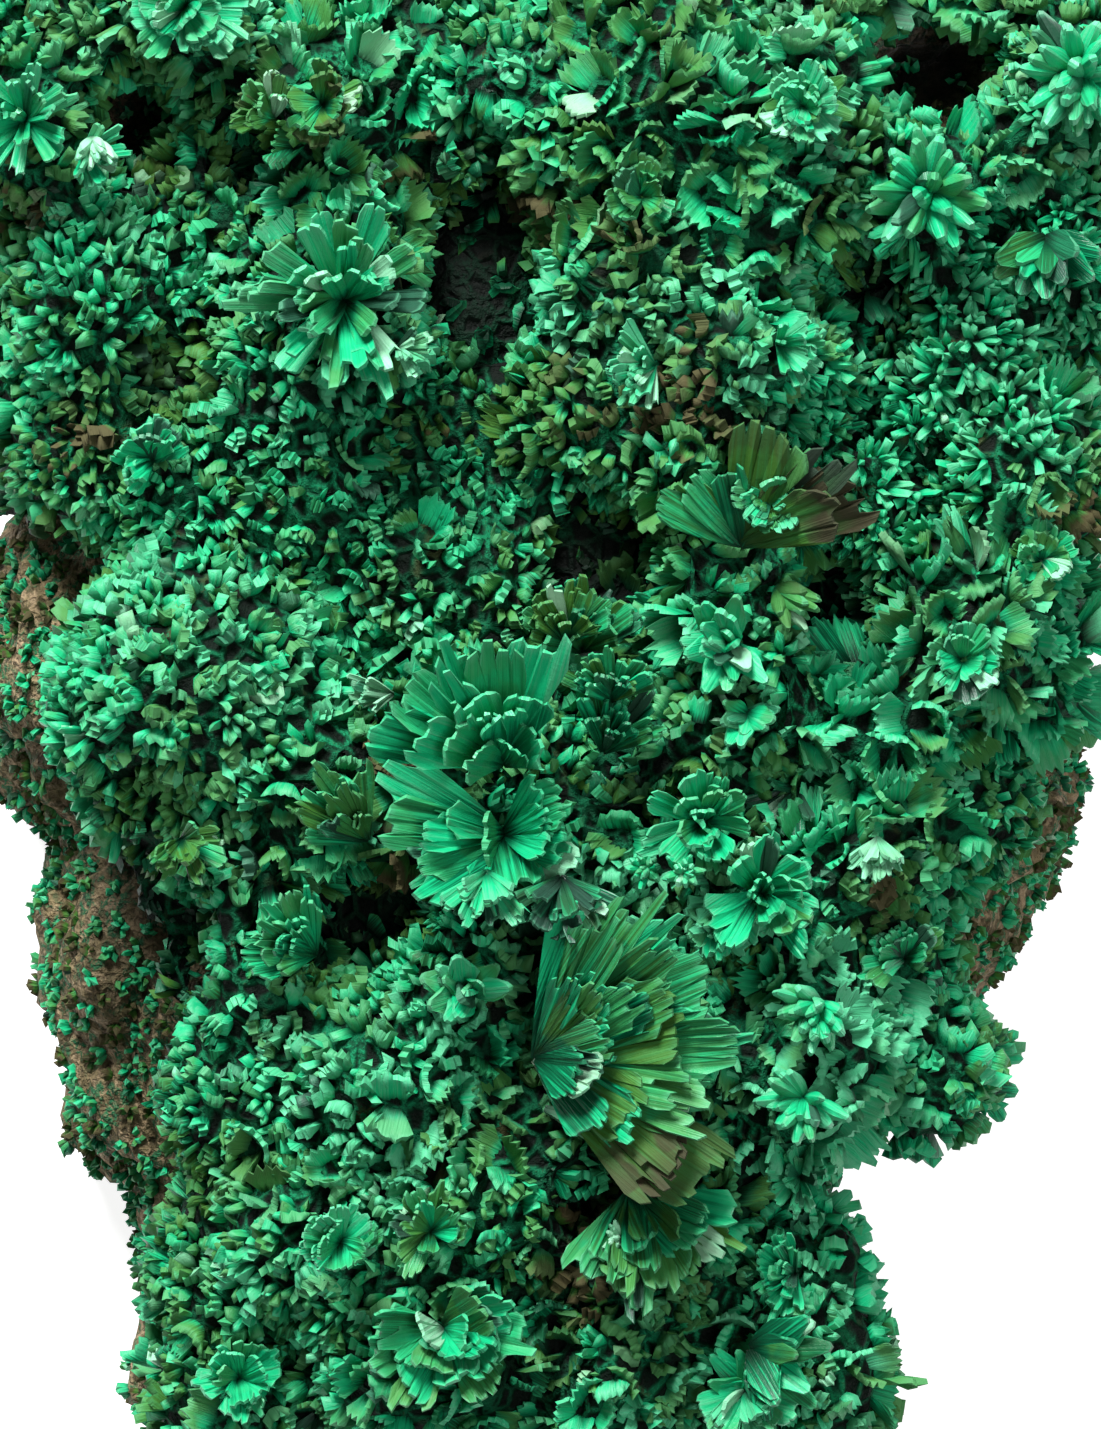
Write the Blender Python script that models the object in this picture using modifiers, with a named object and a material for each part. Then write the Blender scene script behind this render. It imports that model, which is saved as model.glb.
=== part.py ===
"""A malachite crystal specimen, lying on the flat cut back of its rock with the crystal face up.

A brown rock, the matrix, carries a continuous crust of fine malachite crystals, and larger
sprays and rosettes of bladed malachite stand in seats on that crust. Lengths below are in
millimetres, seen from above: x to the right, y away from the viewer's feet, z up from the cut.
"""

import math
import random
from typing import NamedTuple

import bmesh
import bpy
from mathutils import Matrix, Vector, noise

MM = 0.001
GAP = 0.3            # clear space between pieces that touch
MERGE_CELL = 0.8     # how finely the grown lumps are merged into one skin
CRUST_TRIANGLES = 2600
CUT_CRUST_TRIANGLES = 3500  # once the rock and the seats are cut out of it
MATRIX_TRIANGLES = 1000
CRUST_FOOT = 5.0     # the crust ends this high above the cut back
ROCK_ROUGHNESS = 0.5  # height of the rock's uneven surface
ROCK_GRAIN = 3.5      # distance between its bumps
CRUST_ROUGHNESS = 0.45
CRUST_GRAIN = 4.5
ROCK_ROOM = 0.95      # what the crust leaves round the rock's mean surface


class Lump(NamedTuple):
    """An ellipsoid that the rock or the crust is grown from, given by its highest point."""

    x: float
    y: float
    top: float
    rx: float
    ry: float
    rz: float = 0.0


class Ring(NamedTuple):
    """Blades of one length that open round a focus, between two bearings in degrees."""

    count: int
    first: float
    last: float
    tilt: float
    reach: float


class Head(NamedTuple):
    """One focus of a spray, with the rings of blades that start there."""

    x: float
    y: float
    z: float
    rings: tuple


ROCK = (
    Lump(0, 14, 22, 25, 20.5, 17),
    Lump(-3, -5, 23, 20.5, 17, 18),
    Lump(-2, -23, 21, 15, 12.5, 17),
    Lump(14, -3, 21, 9, 10, 16),
    Lump(-13, -15, 21, 8, 10, 16),
    Lump(-17, 6, 21, 8, 11, 16),
    Lump(17, 8, 21, 8, 10, 16),
    Lump(-22.3, 2.5, 19.5, 4.8, 8.5, 15),
    Lump(-20.3, -10.5, 16.5, 4.1, 6.5, 12),
    Lump(-19.3, -17.5, 14.5, 3.6, 4.5, 11),
    Lump(-15.8, -24, 15, 4.1, 5.5, 12),
    Lump(-15.5, -30.5, 14, 4.4, 5, 11),
    Lump(21.3, -4, 18.5, 3.6, 4.6, 14),
    Lump(19.3, -9.5, 16.5, 3, 3.4, 13),
    Lump(22, 6, 17, 4, 6.5, 13),
    Lump(16.5, -15.5, 15.5, 3.6, 4, 12),
    Lump(-23, 20, 17, 5, 9, 13),
    Lump(18, 27, 20.5, 7.5, 7.5, 14),
    Lump(-17, 28, 20, 8, 7.5, 14),
)

# Broad lumps under the fine ones, so that the crust is whole between them.
CRUST_BED = (
    Lump(-1, 15, 26, 26, 20.5, 14),
    Lump(-4, -4, 26.5, 17.5, 15, 14),
    Lump(6, -5, 26, 14, 14, 13),
    Lump(-1, -22, 25.5, 13.8, 14, 13),
)

UPPER_LEFT = (
    Lump(-25.2, 20.5, 22, 3.6, 8.5),
    Lump(-20.2, 18.7, 28, 5, 5.9),
    Lump(-22, 32.6, 27, 5.9, 5.2),
    Lump(-16.4, 31.6, 30, 4.3, 3.8),
    Lump(-23.6, 26.8, 29, 4, 4),
    Lump(-9.9, 27.2, 30, 4.3, 4.3),
    Lump(-14.2, 23.6, 27, 5, 5),
    Lump(-9.5, 18.7, 31.2, 5.4, 5.4),
    Lump(-11.7, 14, 28.8, 5.9, 4),
    Lump(-20.2, 12.4, 25.8, 5, 4.3),
    Lump(-16, 9.8, 26.8, 4.5, 3.5),
    Lump(-5.4, 34, 27, 6.8, 4.6),
    Lump(-6.2, 29.4, 27.6, 4, 4),
)

RIDGE = (
    Lump(-1.2, 27.2, 31, 4, 5),
    Lump(4.5, 27.2, 32, 5.4, 5),
    Lump(9.5, 24.5, 32, 4.6, 5),
    Lump(4, 20, 31.6, 4.8, 4),
    Lump(7.7, 16.2, 32.6, 5.6, 3.6),
    Lump(2.3, 14.4, 30.2, 3.8, 3.8),
    Lump(7, 11.2, 31.6, 4, 4),
    Lump(2.3, 33.4, 29.2, 6, 5),
    Lump(10.4, 34, 28.2, 6.5, 4.4),
    Lump(11.3, 28, 31.4, 3.6, 3.8),
)

RIGHT = (
    Lump(20.5, 33.4, 25.5, 6.5, 5),
    Lump(23.8, 28.6, 29, 4.2, 4),
    Lump(16.9, 23.6, 30, 4.2, 3.8),
    Lump(23.2, 20.5, 27.2, 5.2, 5.4),
    Lump(18, 17.4, 28.4, 5.4, 5),
    Lump(20.4, 11, 28.6, 5.9, 5.2),
    Lump(14.8, 11.9, 28.4, 3.4, 5),
    Lump(18.4, 4.3, 29.6, 5.4, 5),
    Lump(22.4, 2.4, 25.4, 2.8, 4.2),
    Lump(15.3, -0.6, 29.2, 4.8, 3.8),
    Lump(18.2, -4, 26.6, 4.4, 4),
    Lump(14.4, -6, 28.6, 4.2, 4),
    Lump(15, -11, 26, 4, 4.2),
    Lump(17.3, -16.2, 25, 3.9, 3.9),
)

MIDDLE = (
    Lump(8.4, 5.2, 31.8, 3.2, 4.6),
    Lump(8.6, 0.6, 31.6, 3.6, 3.4),
    Lump(1, 3.2, 28.2, 4.4, 3.4),
    Lump(-9.9, 9.6, 28.2, 7.4, 4.4),
    Lump(-4.5, 6.2, 28.6, 6.4, 4.4),
    Lump(-16, 1.1, 31.2, 6.9, 6.7, 8),
    Lump(-16.2, -4, 27.6, 5.2, 4),
    Lump(-3.4, -2.6, 30.4, 6.2, 6.4),
    Lump(-9.6, -3.8, 30.4, 4, 4.2),
    Lump(4, -4, 30.4, 5.2, 4.4),
    Lump(10.4, -7.4, 30, 4.8, 4),
)

LOWER = (
    Lump(-12.4, -10.6, 28.2, 5.6, 5),
    Lump(2.3, -14.2, 31, 6.8, 5.9),
    Lump(-3.8, -11, 30.8, 4.6, 4),
    Lump(11.2, -15.2, 30.4, 3.9, 5.4),
    Lump(-6.8, -16.4, 30, 6, 5.4),
    Lump(-12.6, -17.2, 26.8, 5.6, 5.9),
    Lump(4, -22.2, 30.4, 6, 5),
    Lump(-2.4, -21.8, 30, 5.4, 5),
    Lump(-9.4, -23.2, 28.6, 6, 5),
    Lump(-14.6, -25.4, 23.6, 4.1, 5.4),
    Lump(-5, -29, 29.4, 6.2, 5),
    Lump(-13.4, -31.2, 22.8, 5.4, 5.6),
    Lump(2.3, -29.4, 28.6, 5.8, 5),
    Lump(9, -29, 27.6, 5.4, 4.6),
    Lump(11.6, -24.6, 26.4, 3, 3.6),
    Lump(11.9, -29.6, 26.4, 3.9, 4.6),
    Lump(12, -34, 24, 3.8, 3.6),
    Lump(-2.3, -34.4, 24.4, 7, 3.8),
    Lump(-10.6, -34, 21.4, 5.4, 3.6),
    Lump(7.6, -33.8, 23.8, 6.8, 3.8),
)

# Deep hollows between the lumps, cut into the crust from above.
HOLLOWS = (
    Lump(-3.1, 25.6, 36, 1.4, 2.1, 6),
    Lump(-2.9, 22, 36, 1.6, 2.5, 6.6),
    Lump(-2.7, 18.6, 36, 1.8, 2.5, 6.6),
    Lump(13.1, 4.9, 36, 1.4, 2.2, 6.6),
    Lump(17.3, 29.4, 34, 2.8, 2, 6.6),
    Lump(2.8, 6.2, 35.6, 1, 2, 5.6),
    Lump(4.8, 2.9, 35, 0.9, 1.9, 5),
    Lump(2.7, -5.2, 35.4, 1.1, 1.3, 5),
    Lump(-8.6, -8.9, 35, 2.6, 1.4, 5.6),
    Lump(0.2, -20.9, 36, 1.6, 0.9, 5.6),
    Lump(8.2, -20.6, 35, 1.8, 0.8, 5.4),
    Lump(7.2, -11.3, 36, 1.6, 1, 5.8),
    Lump(-13.9, 25.6, 35, 1.6, 1.8, 6),
    Lump(10.1, -22.6, 34, 1.1, 0.8, 5),
    Lump(14.4, 1.3, 35, 0.9, 1.4, 5.2),
    Lump(-16.6, -10.6, 30, 1.5, 3.2, 5.6),
    Lump(-17.5, 16.4, 33, 1.3, 1.7, 5.2),
    Lump(19.6, 20.2, 34, 2, 1.1, 5.2),
    Lump(15.9, 16.9, 34.4, 1.3, 1.7, 5.4),
    Lump(14.6, 13.6, 34, 1.1, 1.8, 5.4),
    Lump(16.4, 11.3, 34, 1.5, 1.1, 5.2),
    Lump(0.3, -28.8, 34, 1, 2.6, 5.2),
)

SPRAYS = {
    "cup_rosette": (
        Head(-2.1, -2.2, 30.6, (Ring(5, 78, 168, 62, 6.2), Ring(3, 30, 140, 32, 4.6))),
        Head(-2.1, -5.4, 30.6, (Ring(3, 155, 210, 66, 5.8), Ring(3, 240, 320, 66, 3.0),
                                Ring(3, -30, 40, 60, 3.8), Ring(2, 120, 230, 30, 3.4))),
    ),
    "dark_fan": (Head(2.4, -1.6, 29.4, (Ring(5, 15, 110, 58, 4.2), Ring(2, 40, 90, 28, 3.2))),),
    "centre_rosettes": (
        Head(6.8, -4.8, 30.0, (Ring(6, -170, 130, 64, 3.0), Ring(2, -160, 60, 26, 2.6))),
        Head(9.4, -8.0, 29.8, (Ring(6, -130, 100, 64, 3.6), Ring(2, -60, 120, 28, 2.8))),
    ),
    "great_fan": (
        Head(-0.7, -15.4, 31.2, (Ring(7, -44, 62, 77, 10.0), Ring(5, -40, 56, 62, 8.0),
                                 Ring(4, -34, 56, 42, 5.8))),
    ),
    "lower_fan": (
        Head(3.6, -21.4, 29.0, (Ring(7, -125, -12, 74, 6.6), Ring(4, -110, -25, 54, 5.2))),
    ),
    "light_leaves": (Head(-3.6, -12.4, 30.8, (Ring(5, 30, 230, 60, 3.0), Ring(2, 80, 190, 24, 2.6))),),
    "boss_rosette": (
        Head(-9.3, 18.6, 30.6, (Ring(8, 0, 315, 66, 4.4), Ring(4, 20, 290, 34, 3.8))),
    ),
    "top_flower": (Head(-16.4, 31.8, 29.6, (Ring(7, 0, 308, 66, 2.9), Ring(2, 60, 240, 26, 2.3))),),
    "left_flower": (
        Head(-23.6, 26.8, 28.6, (Ring(6, 20, 320, 64, 2.8), Ring(2, 60, 240, 28, 2.4))),
        Head(-21.0, 25.2, 28.0, (Ring(3, -80, 40, 60, 2.2),)),
    ),
    "olive_fan": (Head(-10.2, 27.4, 29.6, (Ring(5, -150, 50, 60, 2.8), Ring(2, -100, 0, 28, 2.4))),),
    "right_flower": (Head(23.8, 28.8, 28.6, (Ring(7, 0, 308, 64, 3.1), Ring(2, 60, 240, 28, 2.5))),),
    "petal_cluster": (Head(16.9, 23.4, 29.6, (Ring(7, 0, 308, 62, 3.1), Ring(2, 60, 240, 28, 2.6))),),
    "upper_leaves": (Head(11.4, 27.4, 31.0, (Ring(6, 0, 300, 62, 2.7), Ring(2, 60, 240, 26, 2.3))),),
    "ridge_left_blades": (Head(4.6, 15.6, 31.4, (Ring(5, 130, 260, 66, 2.9), Ring(2, 150, 240, 28, 2.2))),),
    "ridge_right_blades": (Head(10.2, 16.6, 31.8, (Ring(4, -70, 25, 64, 2.8), Ring(1, -60, 20, 24, 2.2))),),
    "ridge_fan": (
        Head(8.5, 7.6, 31.0, (Ring(5, 12, 80, 68, 6.4), Ring(3, 108, 158, 66, 4.6))),
        Head(9.6, 9.9, 31.6, (Ring(5, 30, 318, 50, 2.4),)),
    ),
    "block_bundle": (Head(10.2, 5.6, 30.4, (Ring(3, -75, -10, 66, 2.8),)),),
    "leaf_column": (
        Head(8.0, 3.2, 31.0, (Ring(6, 70, 310, 62, 3.0), Ring(2, 120, 280, 26, 2.4))),
        Head(8.8, 0.0, 30.8, (Ring(4, 180, 360, 60, 2.2),)),
    ),
    "valley_blades": (Head(1.4, 3.0, 27.6, (Ring(5, 20, 165, 60, 4.0), Ring(2, 60, 130, 30, 3.0))),),
    "olive_stack": (
        Head(-8.2, -5.6, 29.6, (Ring(5, 100, 175, 64, 4.6), Ring(2, 115, 155, 38, 3.4))),
    ),
    "left_fan": (Head(-10.6, -10.8, 27.6, (Ring(5, 95, 200, 64, 4.2), Ring(2, 120, 175, 34, 3.2))),),
    "pale_columns": (
        Head(12.0, -13.0, 30.0, (Ring(5, 150, 320, 60, 2.8), Ring(2, 190, 290, 26, 2.4))),
        Head(11.4, -17.2, 29.6, (Ring(5, 130, 330, 60, 2.8),)),
    ),
    "foot_blades": (Head(11.0, -25.2, 27.0, (Ring(5, 100, 280, 60, 2.8), Ring(2, 140, 250, 28, 2.2))),),
    "foot_leaves": (Head(9.2, -30.6, 27.0, (Ring(5, 40, 160, 62, 3.2), Ring(2, 70, 130, 28, 2.6))),),
    "foot_star": (Head(-4.8, -27.6, 29.2, (Ring(7, 170, 390, 64, 4.2), Ring(3, 200, 350, 30, 3.2))),),
    "left_foot_fan": (Head(-9.4, -24.6, 28.2, (Ring(5, 30, 145, 62, 3.0), Ring(2, 60, 115, 28, 2.4))),),
}

BLADE_THICKNESS = 0.09   # of a blade's reach
BLADE_SPREAD = 0.84      # of the room between two blades that each one fills
BLADE_TRIANGLES_KEPT = 0.68
SEATED = 0.7             # how deep a spray sits in its seat
ROOT_SHARE = 0.2         # of a blade's width, at the focus
HUB_SHARE = 0.24         # of the longest reach
SEAT_DETAIL = 0.7        # smallest feature of the seat under a spray
ROOT_DEPTH = 0.1         # of the bar between two focuses, below them
ROOT_RADIUS = 0.6
UNEVEN_TURN = 4.0        # degrees, either way
SHORTEST = 0.88          # of a ring's reach


def clear_scene():
    """Removes every object that the file starts with."""
    for obj in list(bpy.data.objects):
        bpy.data.objects.remove(obj, do_unlink=True)


def new_collection(name):
    """A collection linked to the scene."""
    made = bpy.data.collections.new(name)
    bpy.context.scene.collection.children.link(made)
    return made


def new_material(name, colour, roughness):
    """A plain finish for one kind of mineral."""
    made = bpy.data.materials.new(name)
    made.use_nodes = True
    shader = made.node_tree.nodes["Principled BSDF"]
    shader.inputs["Base Color"].default_value = (*colour, 1.0)
    shader.inputs["Roughness"].default_value = roughness
    shader.inputs["Metallic"].default_value = 0.0
    made.diffuse_color = (*colour, 1.0)
    return made


def mesh_object(name, form, collection):
    """An object from a bmesh, which is freed."""
    mesh = bpy.data.meshes.new(name)
    form.to_mesh(mesh)
    form.free()
    made = bpy.data.objects.new(name, mesh)
    collection.objects.link(made)
    return made


def as_helper(obj):
    """Marks a cutter, which is not part of the specimen."""
    obj.hide_render = True
    obj.display_type = "WIRE"
    return obj


def bake(obj):
    """Puts the result of an object's modifiers into its mesh."""
    bpy.context.view_layer.update()
    graph = bpy.context.evaluated_depsgraph_get()
    mesh = bpy.data.meshes.new_from_object(obj.evaluated_get(graph))
    obj.modifiers.clear()
    old = obj.data
    obj.data = mesh
    bpy.data.meshes.remove(old)
    return obj


def merge_lumps(name, lumps, grown, collection):
    """One closed skin round all the lumps, each made larger by the given length."""
    form = bmesh.new()
    for lump in lumps:
        high = lump.rz or 0.55 * (lump.rx + lump.ry)
        size = Matrix.Diagonal(((lump.rx + grown) * MM, (lump.ry + grown) * MM,
                                (high + grown) * MM, 1.0))
        place = Matrix.Translation(Vector((lump.x, lump.y, lump.top - high)) * MM)
        bmesh.ops.create_icosphere(form, subdivisions=4, radius=1.0, matrix=place @ size)
    obj = mesh_object(name, form, collection)
    skin = obj.modifiers.new("Skin", "REMESH")
    skin.mode = "VOXEL"
    skin.voxel_size = MERGE_CELL * MM
    return bake(obj)


def roughen(obj, height, grain):
    """Moves each point along its normal by a smooth uneven pattern."""
    mesh = obj.data
    normals = [vertex.normal.copy() for vertex in mesh.vertices]
    for vertex, normal in zip(mesh.vertices, normals):
        swell = noise.fractal(vertex.co / (grain * MM), 0.9, 2.1, 3)
        vertex.co += normal * swell * height * MM
    mesh.update()


def reduce_by(obj, share):
    """Brings a skin down to about the given share of its triangles."""
    fewer = obj.modifiers.new("Reduce", "DECIMATE")
    fewer.ratio = share
    return bake(obj)


def reduce_to(obj, triangles):
    """Brings a skin down to about the given number of triangles."""
    return reduce_by(obj, triangles / sum(len(face.vertices) - 2 for face in obj.data.polygons))


def cut(obj, cutter, operation="DIFFERENCE"):
    """Applies one Boolean."""
    step = obj.modifiers.new("Cut", "BOOLEAN")
    step.operation = operation
    step.object = cutter
    return bake(obj)


def cut_all(obj, cutters):
    """Cuts every object of a collection away at once."""
    step = obj.modifiers.new("Cut", "BOOLEAN")
    step.operand_type = "COLLECTION"
    step.collection = cutters
    return bake(obj)


def floor_box(height, collection):
    """A block that fills everything below the given height."""
    side, deep = 120.0, 40.0
    form = bmesh.new()
    size = Matrix.Diagonal((side * MM, side * MM, deep * MM, 1.0))
    bmesh.ops.create_cube(form, matrix=Matrix.Translation((0, 0, (height - deep / 2) * MM)) @ size)
    return as_helper(mesh_object("floor_block", form, collection))


def hollow_object(index, lump, collection):
    """The cutter for one hollow of the crust."""
    form = bmesh.new()
    size = Matrix.Diagonal((lump.rx * MM, lump.ry * MM, lump.rz * MM, 1.0))
    place = Matrix.Translation(Vector((lump.x, lump.y, lump.top - lump.rz)) * MM)
    bmesh.ops.create_icosphere(form, subdivisions=2, radius=1.0, matrix=place @ size)
    return as_helper(mesh_object(f"hollow_{index}", form, collection))


def keep_largest_body(obj):
    """Drops the crumbs that a cut leaves beside the main body."""
    form = bmesh.new()
    form.from_mesh(obj.data)
    left = set(form.verts)
    bodies = []
    while left:
        body, edge = set(), [left.pop()]
        while edge:
            vertex = edge.pop()
            body.add(vertex)
            near = {e.other_vert(vertex) for e in vertex.link_edges} & left
            left -= near
            edge.extend(near)
        bodies.append(body)
    main = max(bodies, key=len)
    crumbs = [vertex for vertex in form.verts if vertex not in main]
    bmesh.ops.delete(form, geom=crumbs, context="VERTS")
    form.to_mesh(obj.data)
    form.free()


def bearings(ring):
    """The bearing of each blade of a ring, evenly spread."""
    if ring.count == 1:
        return [(ring.first + ring.last) / 2]
    step = (ring.last - ring.first) / (ring.count - 1)
    return [ring.first + step * index for index in range(ring.count)]


def blade_width(ring):
    """Widest part of a blade, with a slit between neighbours."""
    step = math.radians((ring.last - ring.first) / max(ring.count - 1, 1))
    return BLADE_SPREAD * 2 * math.tan(min(step, 1.0) / 2) * ring.reach * math.sin(math.radians(ring.tilt))


def focus_of(head):
    """The point that the blades of a head start from."""
    return Vector((head.x, head.y, head.z - SEATED))


def blade_frame(bearing, tilt):
    """Axes of a blade: across it, through it, and along it away from the focus."""
    turn, lift = math.radians(bearing), math.radians(tilt)
    along = Vector((math.sin(lift) * math.cos(turn), math.sin(lift) * math.sin(turn), math.cos(lift)))
    across = Vector((-math.sin(turn), math.cos(turn), 0.0))
    return across, along.cross(across), along


def add_blade(form, head, ring, bearing, chance):
    """A wedge that widens away from the focus, set and sized a little unevenly, as it grew."""
    across, through, along = blade_frame(
        bearing + chance.uniform(-UNEVEN_TURN, UNEVEN_TURN),
        ring.tilt + chance.uniform(-UNEVEN_TURN, UNEVEN_TURN),
    )
    reach = ring.reach * chance.uniform(SHORTEST, 1.0)
    width = max(blade_width(ring), 0.9)
    thick = max(BLADE_THICKNESS * ring.reach, 0.5)
    turn = Matrix((across, through, along)).transposed().to_4x4()
    middle = focus_of(head) + along * reach / 2
    shape = Matrix.Diagonal((width * MM, thick * MM, reach * MM, 1.0))
    place = Matrix.Translation(middle * MM) @ turn @ shape @ Matrix.Rotation(math.pi / 4, 4, "Z")
    half = math.sqrt(0.5)
    bmesh.ops.create_cone(form, cap_ends=True, segments=4, radius1=half * ROOT_SHARE,
                          radius2=half, depth=1.0, matrix=place)


def blade_object(name, head, ring, bearing, chance, collection):
    """One blade as a helper object."""
    form = bmesh.new()
    add_blade(form, head, ring, bearing, chance)
    return as_helper(mesh_object(name, form, collection))


def hub_object(name, head, collection):
    """The knot of crystal that the blades of a head grow from."""
    radius = max(HUB_SHARE * max(ring.reach for ring in head.rings), 0.55)
    form = bmesh.new()
    place = Matrix.Translation(focus_of(head) * MM)
    bmesh.ops.create_icosphere(form, subdivisions=1, radius=radius * MM, matrix=place)
    return mesh_object(name, form, collection)


def root_object(name, head, other, collection):
    """The bar of crystal that ties one focus of a spray to another."""
    start, end = (focus_of(at) - Vector((0, 0, ROOT_DEPTH)) for at in (head, other))
    turn = (end - start).to_track_quat("Z", "Y").to_matrix().to_4x4()
    place = Matrix.Translation((start + end) / 2 * MM) @ turn
    form = bmesh.new()
    bmesh.ops.create_cone(form, cap_ends=True, segments=5, radius1=ROOT_RADIUS * MM,
                          radius2=ROOT_RADIUS * MM, depth=(end - start).length * MM, matrix=place)
    return as_helper(mesh_object(name, form, collection))


def spray_object(name, heads, collection, cutters):
    """The union of the blades and knots of one spray."""
    helpers = bpy.data.collections.new(name + "_blades")
    cutters.children.link(helpers)
    chance = random.Random(name)
    for number, head in enumerate(heads):
        if number:
            as_helper(hub_object(f"{name}_hub_{number}", head, helpers))
            root_object(f"{name}_root_{number}", heads[0], head, helpers)
        for ring in head.rings:
            for bearing in bearings(ring):
                blade_object(f"{name}_blade", head, ring, bearing, chance, helpers)
    spray = hub_object(name, heads[0], collection)
    join = spray.modifiers.new("Join", "BOOLEAN")
    join.operation = "UNION"
    join.operand_type = "COLLECTION"
    join.collection = helpers
    bake(spray)
    reduce_by(spray, BLADE_TRIANGLES_KEPT)
    for helper in list(helpers.objects):
        bpy.data.objects.remove(helper, do_unlink=True)
    bpy.data.collections.remove(helpers)
    return spray


def seat_for(spray, cutters):
    """The room that a spray needs in the crust: its outer hull, made larger by the gap."""
    form = bmesh.new()
    form.from_mesh(spray.data)
    bmesh.ops.remove_doubles(form, verts=form.verts, dist=SEAT_DETAIL * MM)
    hull = bmesh.ops.convex_hull(form, input=form.verts)
    loose = [item for item in hull["geom_interior"] + hull["geom_unused"]
             if isinstance(item, bmesh.types.BMVert)]
    bmesh.ops.delete(form, geom=loose, context="VERTS")
    inside = [face for face in form.faces if face not in set(hull["geom"])]
    bmesh.ops.delete(form, geom=inside, context="FACES")
    bmesh.ops.recalc_face_normals(form, faces=form.faces)
    form.normal_update()
    for vertex, normal in [(v, v.normal.copy()) for v in form.verts]:
        vertex.co += normal * (GAP + SEAT_DETAIL / 2) * MM
    return as_helper(mesh_object(spray.name + "_seat", form, cutters))


def main():
    """Builds the specimen."""
    clear_scene()
    specimen = new_collection("malachite_specimen")
    cutters = new_collection("cutters")
    rock_finish = new_material("brown_rock", (0.17, 0.10, 0.055), 0.9)
    crust_finish = new_material("malachite_crust", (0.02, 0.30, 0.16), 0.55)
    spray_finish = new_material("malachite_blades", (0.03, 0.42, 0.22), 0.4)

    matrix = merge_lumps("matrix", ROCK, 0.0, specimen)
    roughen(matrix, ROCK_ROUGHNESS, ROCK_GRAIN)
    reduce_to(matrix, MATRIX_TRIANGLES)
    cut(matrix, floor_box(0.0, cutters))
    matrix.data.materials.clear()
    matrix.data.materials.append(rock_finish)

    lumps = CRUST_BED + UPPER_LEFT + RIDGE + RIGHT + MIDDLE + LOWER
    crust = merge_lumps("malachite_crust", lumps, 0.0, specimen)
    roughen(crust, CRUST_ROUGHNESS, CRUST_GRAIN)
    reduce_to(crust, CRUST_TRIANGLES)
    room = merge_lumps("matrix_room", ROCK, ROCK_ROOM, cutters)
    as_helper(reduce_to(room, MATRIX_TRIANGLES))
    cut(crust, room)
    cut(crust, floor_box(CRUST_FOOT, cutters))
    hollows = bpy.data.collections.new("hollows")
    cutters.children.link(hollows)
    for index, lump in enumerate(HOLLOWS, 1):
        hollow_object(index, lump, hollows)
    cut_all(crust, hollows)

    seats = bpy.data.collections.new("seats")
    cutters.children.link(seats)
    for name, heads in SPRAYS.items():
        spray = spray_object(name, heads, specimen, cutters)
        spray.data.materials.clear()
        spray.data.materials.append(spray_finish)
        seat_for(spray, seats)
    cut_all(crust, seats)
    keep_largest_body(crust)
    reduce_to(crust, CUT_CRUST_TRIANGLES)
    crust.data.materials.clear()
    crust.data.materials.append(crust_finish)


main()
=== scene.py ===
"""A malachite specimen: sprays of fan-shaped crystals on a crust of small blades over brown rock.

It lies on its flat cut back, with the crystal face up, and the camera looks straight down on it.
"""
import logging
import math
import random
from dataclasses import dataclass, field
from enum import Enum
from typing import NamedTuple

import bpy
import numpy as np
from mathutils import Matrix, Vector, noise
from mathutils.bvhtree import BVHTree


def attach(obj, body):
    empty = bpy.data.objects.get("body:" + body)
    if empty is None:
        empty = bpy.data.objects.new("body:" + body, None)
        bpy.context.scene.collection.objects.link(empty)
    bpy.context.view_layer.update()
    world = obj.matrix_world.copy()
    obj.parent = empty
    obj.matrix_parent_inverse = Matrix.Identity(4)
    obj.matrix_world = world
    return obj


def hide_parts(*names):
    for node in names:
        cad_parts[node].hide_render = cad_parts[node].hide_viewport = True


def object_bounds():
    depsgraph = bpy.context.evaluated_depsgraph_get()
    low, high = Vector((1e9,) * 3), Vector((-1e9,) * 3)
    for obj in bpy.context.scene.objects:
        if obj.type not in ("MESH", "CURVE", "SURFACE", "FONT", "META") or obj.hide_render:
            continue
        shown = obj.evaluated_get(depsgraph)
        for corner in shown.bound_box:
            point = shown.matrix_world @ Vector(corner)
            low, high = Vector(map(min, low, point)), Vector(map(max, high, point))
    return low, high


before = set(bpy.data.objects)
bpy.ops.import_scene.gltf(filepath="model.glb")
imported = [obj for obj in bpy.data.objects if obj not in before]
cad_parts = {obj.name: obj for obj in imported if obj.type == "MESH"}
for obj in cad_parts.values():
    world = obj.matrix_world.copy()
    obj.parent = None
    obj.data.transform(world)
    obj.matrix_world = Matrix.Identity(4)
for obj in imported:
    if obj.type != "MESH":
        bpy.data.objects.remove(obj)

MM = 0.001
PHOTO_SCALE = 0.045          # millimetres of the specimen to one pixel of the photograph
PHOTO_MIDDLE = (550.0, 715.0)
SEATED = 0.7                 # how deep a spray's focus sits, mm
CAD_BOX = [list(corner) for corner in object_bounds()]
RECESS_TONE = -0.25          # tones darker than this mark a recess
RECESS_RATE = 6.0            # mm of extra depth for each unit of tone beyond it
DEEPEST_RECESS = 2.2         # mm
LOWEST_RECESS = 10.0         # no recess below this height, mm

log = logging.getLogger("malachite")

Array = np.ndarray


def unit(vectors: Array) -> Array:
    """Scale each row to length one."""
    return vectors / np.maximum(np.linalg.norm(vectors, axis=-1, keepdims=True), 1e-12)


def inside_box(points: Array) -> Array:
    """Keep points, in metres, within the solid model's box."""
    return np.clip(points, np.array(CAD_BOX[0]) + 1e-6, np.array(CAD_BOX[1]) - 1e-6)


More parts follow.
